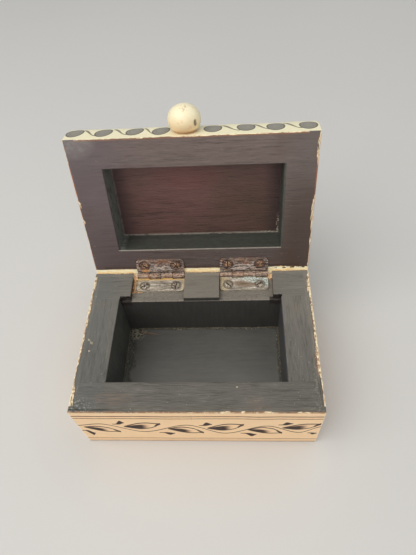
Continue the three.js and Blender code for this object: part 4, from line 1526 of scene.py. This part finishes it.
class TRINKETBOX_OT_lid_wood(bpy.types.Operator):
    """Makes the lid's four painted rails and the stained floor of its recess"""

    bl_idname = "trinket_box.lid_wood"
    bl_label = "Lid rails and panel"
    bl_options = {"REGISTER", "UNDO"}

    def execute(self, context):
        sizes = context.scene.trinket_box_sizes
        colours = context.scene.trinket_box_colours
        paint = lid_wood_finish(colours)
        width = sizes.rail_round
        inside_x = LID_LEFT_BONE[1][0]
        outer_x = LID_FRONT_RAIL[0][0]
        face = level(LID_FACE, Z)

        for row, edge, outer, bone in (
            ("front", RECESS_FRONT, LID_FRONT_RAIL[0][1], LID_FRONT_BONE[1][1]),
            ("back", RECESS_BACK, LID_BACK_RAIL[1][1], LID_BACK_BONE[0][1]),
        ):
            node = f"lid_{row}_rail"
            rail = solid_copy(node, f"lid_rail_{row}", lid=True)
            close_joint(rail, Y, outer, bone)
            close_joint(rail, X, outer_x, inside_x)
            close_joint(rail, X, -outer_x, -inside_x)
            close_joint(rail, Z, LID_FRONT_RAIL[1][2], RECESS_FLOOR)
            split(rail, X, -RECESS_X, RECESS_X)
            in_line = level(edge, Y)

            def wanted(a, b, in_line=in_line):
                return face(a, b) and in_line(a, b) and max(abs(a.x), abs(b.x)) < RECESS_X + SAME_PLACE

            soften(rail, width, 3, wanted)
            settle(rail, "lid", node, paint, lid=True)

        for side, sign in (("left", -1), ("right", 1)):
            node = f"lid_{side}_rail"
            low, high = shut_box(node)
            rail = solid_copy(node, f"lid_rail_{side}", lid=True)
            outer = low[0] if sign < 0 else high[0]
            close_joint(rail, X, outer, -sign * inside_x)
            close_joint(rail, Y, low[1], RECESS_FRONT)
            close_joint(rail, Y, high[1], RECESS_BACK)
            close_joint(rail, Z, high[2], RECESS_FLOOR)
            inner = level(sign * RECESS_X, X)
            worn = sizes.recess_round if side == "right" else width
            soften(rail, worn, 4, lambda a, b: face(a, b) and inner(a, b))
            settle(rail, "lid", node, paint, lid=True)

        panel = solid_copy("lid_panel", "recess_floor", lid=True)
        settle(panel, "lid", "lid_panel", recess_floor_finish(colours), lid=True)
        return {"FINISHED"}


class TRINKETBOX_OT_lid_plates(bpy.types.Operator):
    """Makes the lid's bone edges and its four outer plates"""

    bl_idname = "trinket_box.lid_plates"
    bl_label = "Lid bone"
    bl_options = {"REGISTER", "UNDO"}

    def execute(self, context):
        sizes = context.scene.trinket_box_sizes
        colours = context.scene.trinket_box_colours
        inside_x = LID_LEFT_BONE[1][0]
        for face in ("front", "back", "left", "right"):
            node = f"lid_{face}_bone"
            edge = solid_copy(node, f"lid_edge_{face}", lid=True)
            if face in ("front", "back"):
                close_joint(edge, X, LID_FRONT_BONE[0][0], inside_x)
                close_joint(edge, X, LID_FRONT_BONE[1][0], -inside_x)
            arris = level(LID_FACE, Z)
            outer = {
                "front": level(FRONT, Y),
                "back": level(BACK, Y),
                "left": level(-HALF_WIDTH, X),
                "right": level(HALF_WIDTH, X),
            }[face]
            soften(edge, sizes.plate_round, 3, lambda a, b: arris(a, b) and outer(a, b))
            self.file_by_hand(edge, face, sizes.lid_wave)
            finish = lid_bone_finish(colours, f"lid_bone_{face}", face)
            settle(edge, "lid", node, finish, lid=True)

        top = lid_top_finish(colours)
        for row in ("front", "back"):
            for end in ("left", "right"):
                node = f"lid_top_bone_{row}_{end}"
                plate = solid_copy(node, f"lid_plate_{row}_{end}", lid=True)
                soften(plate, 0.12 * MM, 2, level(LID_TOP, Z))
                settle(plate, "lid", node, top, lid=True)
        return {"FINISHED"}

    @staticmethod
    def file_by_hand(edge, face, depth):
        """Slight dips along the rounded shoulder, which was filed by hand."""
        axis = Y if face in ("left", "right") else X
        inward = {"front": 1, "back": -1, "left": 1, "right": -1}[face]
        outer = BACK if axis == X else HALF_WIDTH
        low = min(v.co[axis] for v in edge.data.vertices) / MM
        high = max(v.co[axis] for v in edge.data.vertices) / MM
        count = int((high - low) / 3)
        stations = [low + (i + 1) * (high - low) / (count + 1) for i in range(count)]
        split(edge, axis, *stations)
        for station in stations:
            dip = 0.5 + 0.28 * math.sin(station * 0.21 + 1.1) + 0.22 * math.sin(station * 0.47 + 2.3)
            fade = min((station - low) / 7, (high - station) / 7, 1)

            def shoulder(place, station=station):
                high_up = LID_FACE + SHOULDER_LOW < place.z < LID_TOP - 0.5
                at_station = abs(place[axis] - station) < 0.05
                return high_up and at_station and abs(place[1 - axis]) > outer - SHOULDER_DEEP

            pick(edge, shoulder)
            step = Vector((0, 0, 0))
            step[1 - axis] = inward * max(dip, 0) * fade * fade * depth
            bpy.ops.transform.translate(value=step)
            bpy.ops.object.mode_set(mode="OBJECT")


class TRINKETBOX_OT_knob(bpy.types.Operator):
    """Makes the knob, a turned bone ball with a pit and a flat seat, and finishes its peg"""

    bl_idname = "trinket_box.knob"
    bl_label = "Knob"
    bl_options = {"REGISTER", "UNDO"}

    def execute(self, context):
        sizes = context.scene.trinket_box_sizes
        colours = context.scene.trinket_box_colours
        low, high = shut_box("knob_ball")
        radius = (high[0] - low[0]) / 2
        middle = Vector(((low[0] + high[0]) / 2, low[1] + radius, (low[2] + high[2]) / 2))
        bpy.ops.object.select_all(action="DESELECT")
        mesh = {"segments": 96, "ring_count": 64, "radius": radius * MM * 0.9995}
        bpy.ops.mesh.primitive_uv_sphere_add(location=middle * MM, rotation=(math.pi / 2, 0, 0), **mesh)
        ball = bpy.context.active_object
        bpy.ops.object.transform_apply(location=True, rotation=True, scale=True)
        ball.name = ball.data.name = "knob"
        bpy.ops.object.mode_set(mode="EDIT")
        bpy.ops.mesh.select_all(action="SELECT")
        seat = Vector((middle.x, high[1], middle.z)) * MM
        bpy.ops.mesh.bisect(plane_co=seat, plane_no=(0, 1, 0), use_fill=True, clear_outer=True)
        bpy.ops.mesh.select_all(action="SELECT")
        bpy.ops.transform.resize(value=KNOB_STRETCH, center_override=seat)
        bpy.ops.object.mode_set(mode="OBJECT")

        place = middle + Vector(KNOB_PIT_WAY).normalized() * radius
        bpy.ops.object.select_all(action="DESELECT")
        bpy.ops.mesh.primitive_uv_sphere_add(segments=24, ring_count=16, radius=MM, location=place * MM)
        pit = bpy.context.active_object
        pit.scale = (0.5, 1.35, 0.7 * sizes.pit_depth / MM)
        pit.rotation_euler = (0, math.radians(45), math.radians(12))
        bpy.ops.object.transform_apply(location=True, rotation=True, scale=True)
        combine(ball, pit, "DIFFERENCE")
        settle(ball, "lid", "knob_ball", knob_finish(), lid=True, angle=40)
        paint_node("knob_peg", peg_finish(colours))
        return {"FINISHED"}


class TRINKETBOX_OT_hinges(bpy.types.Operator):
    """Makes the two butt hinges' leaves and finishes their pins"""

    bl_idname = "trinket_box.hinges"
    bl_label = "Hinges"
    bl_options = {"REGISTER", "UNDO"}

    def execute(self, context):
        sizes = context.scene.trinket_box_sizes
        colours = context.scene.trinket_box_colours
        upper = upper_leaf_finish(colours)
        pins = pin_finish()
        for side in ("left", "right"):
            lower = lower_leaf_finish(colours, side)
            for which, body, finish in (("lower", "base", lower), ("upper", "lid", upper)):
                node = f"{side}_hinge_{which}_leaf"
                leaf = solid_copy(node, f"{side}_{which}_leaf")
                break_edges(leaf, sizes.steel_round, degrees=40)
                bpy.ops.object.mode_set(mode="EDIT")
                bpy.ops.mesh.select_all(action="SELECT")
                bpy.ops.mesh.dissolve_degenerate(threshold=0.001 * MM)
                bpy.ops.object.mode_set(mode="OBJECT")
                settle(leaf, body, node, finish, angle=40)
            paint_node(f"{side}_hinge_pin", pins)
        return {"FINISHED"}


class TRINKETBOX_OT_screws(bpy.types.Operator):
    """Makes the eight slotted wood screws"""

    bl_idname = "trinket_box.screws"
    bl_label = "Screws"
    bl_options = {"REGISTER", "UNDO"}

    def execute(self, context):
        sizes = context.scene.trinket_box_sizes
        colours = context.scene.trinket_box_colours
        finishes = {
            "base": screw_finish(colours, "lower_screw_steel"),
            "lid": screw_finish(colours, "upper_screw_steel", lid=True),
        }
        for side in ("left", "right"):
            for which, body in (("lower", "base"), ("upper", "lid")):
                for end in ("left", "right"):
                    node = f"{side}_hinge_{which}_screw_{end}"
                    screw = solid_copy(node, f"{side}_{which}_screw_{end}")
                    break_edges(screw, sizes.steel_round * 0.7, degrees=35)
                    settle(screw, body, node, finishes[body], angle=50)
        return {"FINISHED"}


class TRINKETBOX_OT_stage(bpy.types.Operator):
    """Adds the pale floor, the soft lights and the camera"""

    bl_idname = "trinket_box.stage"
    bl_label = "Stage"
    bl_options = {"REGISTER", "UNDO"}

    def execute(self, context):
        scene = context.scene
        scene.view_settings.view_transform = "Standard"
        bpy.ops.object.select_all(action="DESELECT")
        bpy.ops.mesh.primitive_plane_add(size=6, location=(0, 0, -0.0002))
        floor = context.active_object
        floor.name = floor.data.name = "stage_floor"
        finish = Finish("stage_paper")
        cloud = finish.noise((0.004, 0.004, 0.004), 201, 2)
        material = finish.done(finish.shade(tint(214, 212, 208), cloud * 0.06 + 0.97), 0.9)
        floor.data.materials.append(material)

        world = bpy.data.worlds.new("studio")
        world.use_nodes = True
        background = world.node_tree.nodes["Background"]
        background.inputs["Color"].default_value = (0.92, 0.95, 1, 1)
        background.inputs["Strength"].default_value = 0.32
        scene.world = world
        self.lamp("key", (-0.5, -0.3, 1), 1, 8.6, (1, 0.98, 0.94))
        self.lamp("front", (0.2, -1, 0.7), 1, 3.4, (1, 0.95, 0.88))
        self.lamp("back", (0.5, 0.4, 1.1), 1, 2.4, (0.95, 0.98, 1))

        camera_data = bpy.data.cameras.new("photo_camera")
        camera = bpy.data.objects.new("photo_camera", camera_data)
        scene.collection.objects.link(camera)
        camera_data.sensor_width = SENSOR
        camera_data.lens = FOCAL_PIXELS * SENSOR / PICTURE_HEIGHT
        camera_data.clip_start = 0.01
        turn = Matrix((CAMERA_RIGHT, -CAMERA_DOWN, -CAMERA_AHEAD)).transposed().to_4x4()
        camera.matrix_world = Matrix.Translation(CAMERA_PLACE * MM) @ turn
        scene.camera = camera
        return {"FINISHED"}

    @staticmethod
    def lamp(name, place, size, power, light):
        """A square softbox that looks at the box's middle."""
        data = bpy.data.lights.new(name, "AREA")
        data.size = size
        data.energy = power
        data.color = light
        lamp = bpy.data.objects.new(name, data)
        bpy.context.scene.collection.objects.link(lamp)
        lamp.location = place
        aim = Vector((0, 0.02, 0.05)) - Vector(place)
        lamp.rotation_euler = aim.to_track_quat("-Z", "Y").to_euler()


class TRINKETBOX_PT_sidebar(bpy.types.Panel):
    """Lists the box's pieces, small sizes and colours"""

    bl_idname = "TRINKETBOX_PT_sidebar"
    bl_label = "Trinket box"
    bl_space_type = "VIEW_3D"
    bl_region_type = "UI"
    bl_category = "Trinket box"

    def draw(self, context):
        layout = self.layout
        for group in (context.scene.trinket_box_sizes, context.scene.trinket_box_colours):
            column = layout.column()
            for name in group.__annotations__:
                column.prop(group, name)
        for step in STEPS:
            layout.operator(step.bl_idname)


STEPS = (
    TRINKETBOX_OT_base_rails,
    TRINKETBOX_OT_well_floor,
    TRINKETBOX_OT_base_plates,
    TRINKETBOX_OT_lid_wood,
    TRINKETBOX_OT_lid_plates,
    TRINKETBOX_OT_knob,
    TRINKETBOX_OT_hinges,
    TRINKETBOX_OT_screws,
    TRINKETBOX_OT_stage,
)
CLASSES = (TrinketBoxSizes, TrinketBoxColours, *STEPS, TRINKETBOX_PT_sidebar)


def register():
    for item in CLASSES:
        bpy.utils.register_class(item)
    bpy.types.Scene.trinket_box_sizes = PointerProperty(type=TrinketBoxSizes)
    bpy.types.Scene.trinket_box_colours = PointerProperty(type=TrinketBoxColours)


def unregister():
    del bpy.types.Scene.trinket_box_colours
    del bpy.types.Scene.trinket_box_sizes
    for item in reversed(CLASSES):
        bpy.utils.unregister_class(item)


def main():
    register()
    bpy.ops.trinket_box.base_rails()
    bpy.ops.trinket_box.well_floor()
    bpy.ops.trinket_box.base_plates()
    bpy.ops.trinket_box.lid_wood()
    bpy.ops.trinket_box.lid_plates()
    bpy.ops.trinket_box.knob()
    bpy.ops.trinket_box.hinges()
    bpy.ops.trinket_box.screws()
    bpy.ops.trinket_box.stage()


if __name__ == "__main__":
    main()
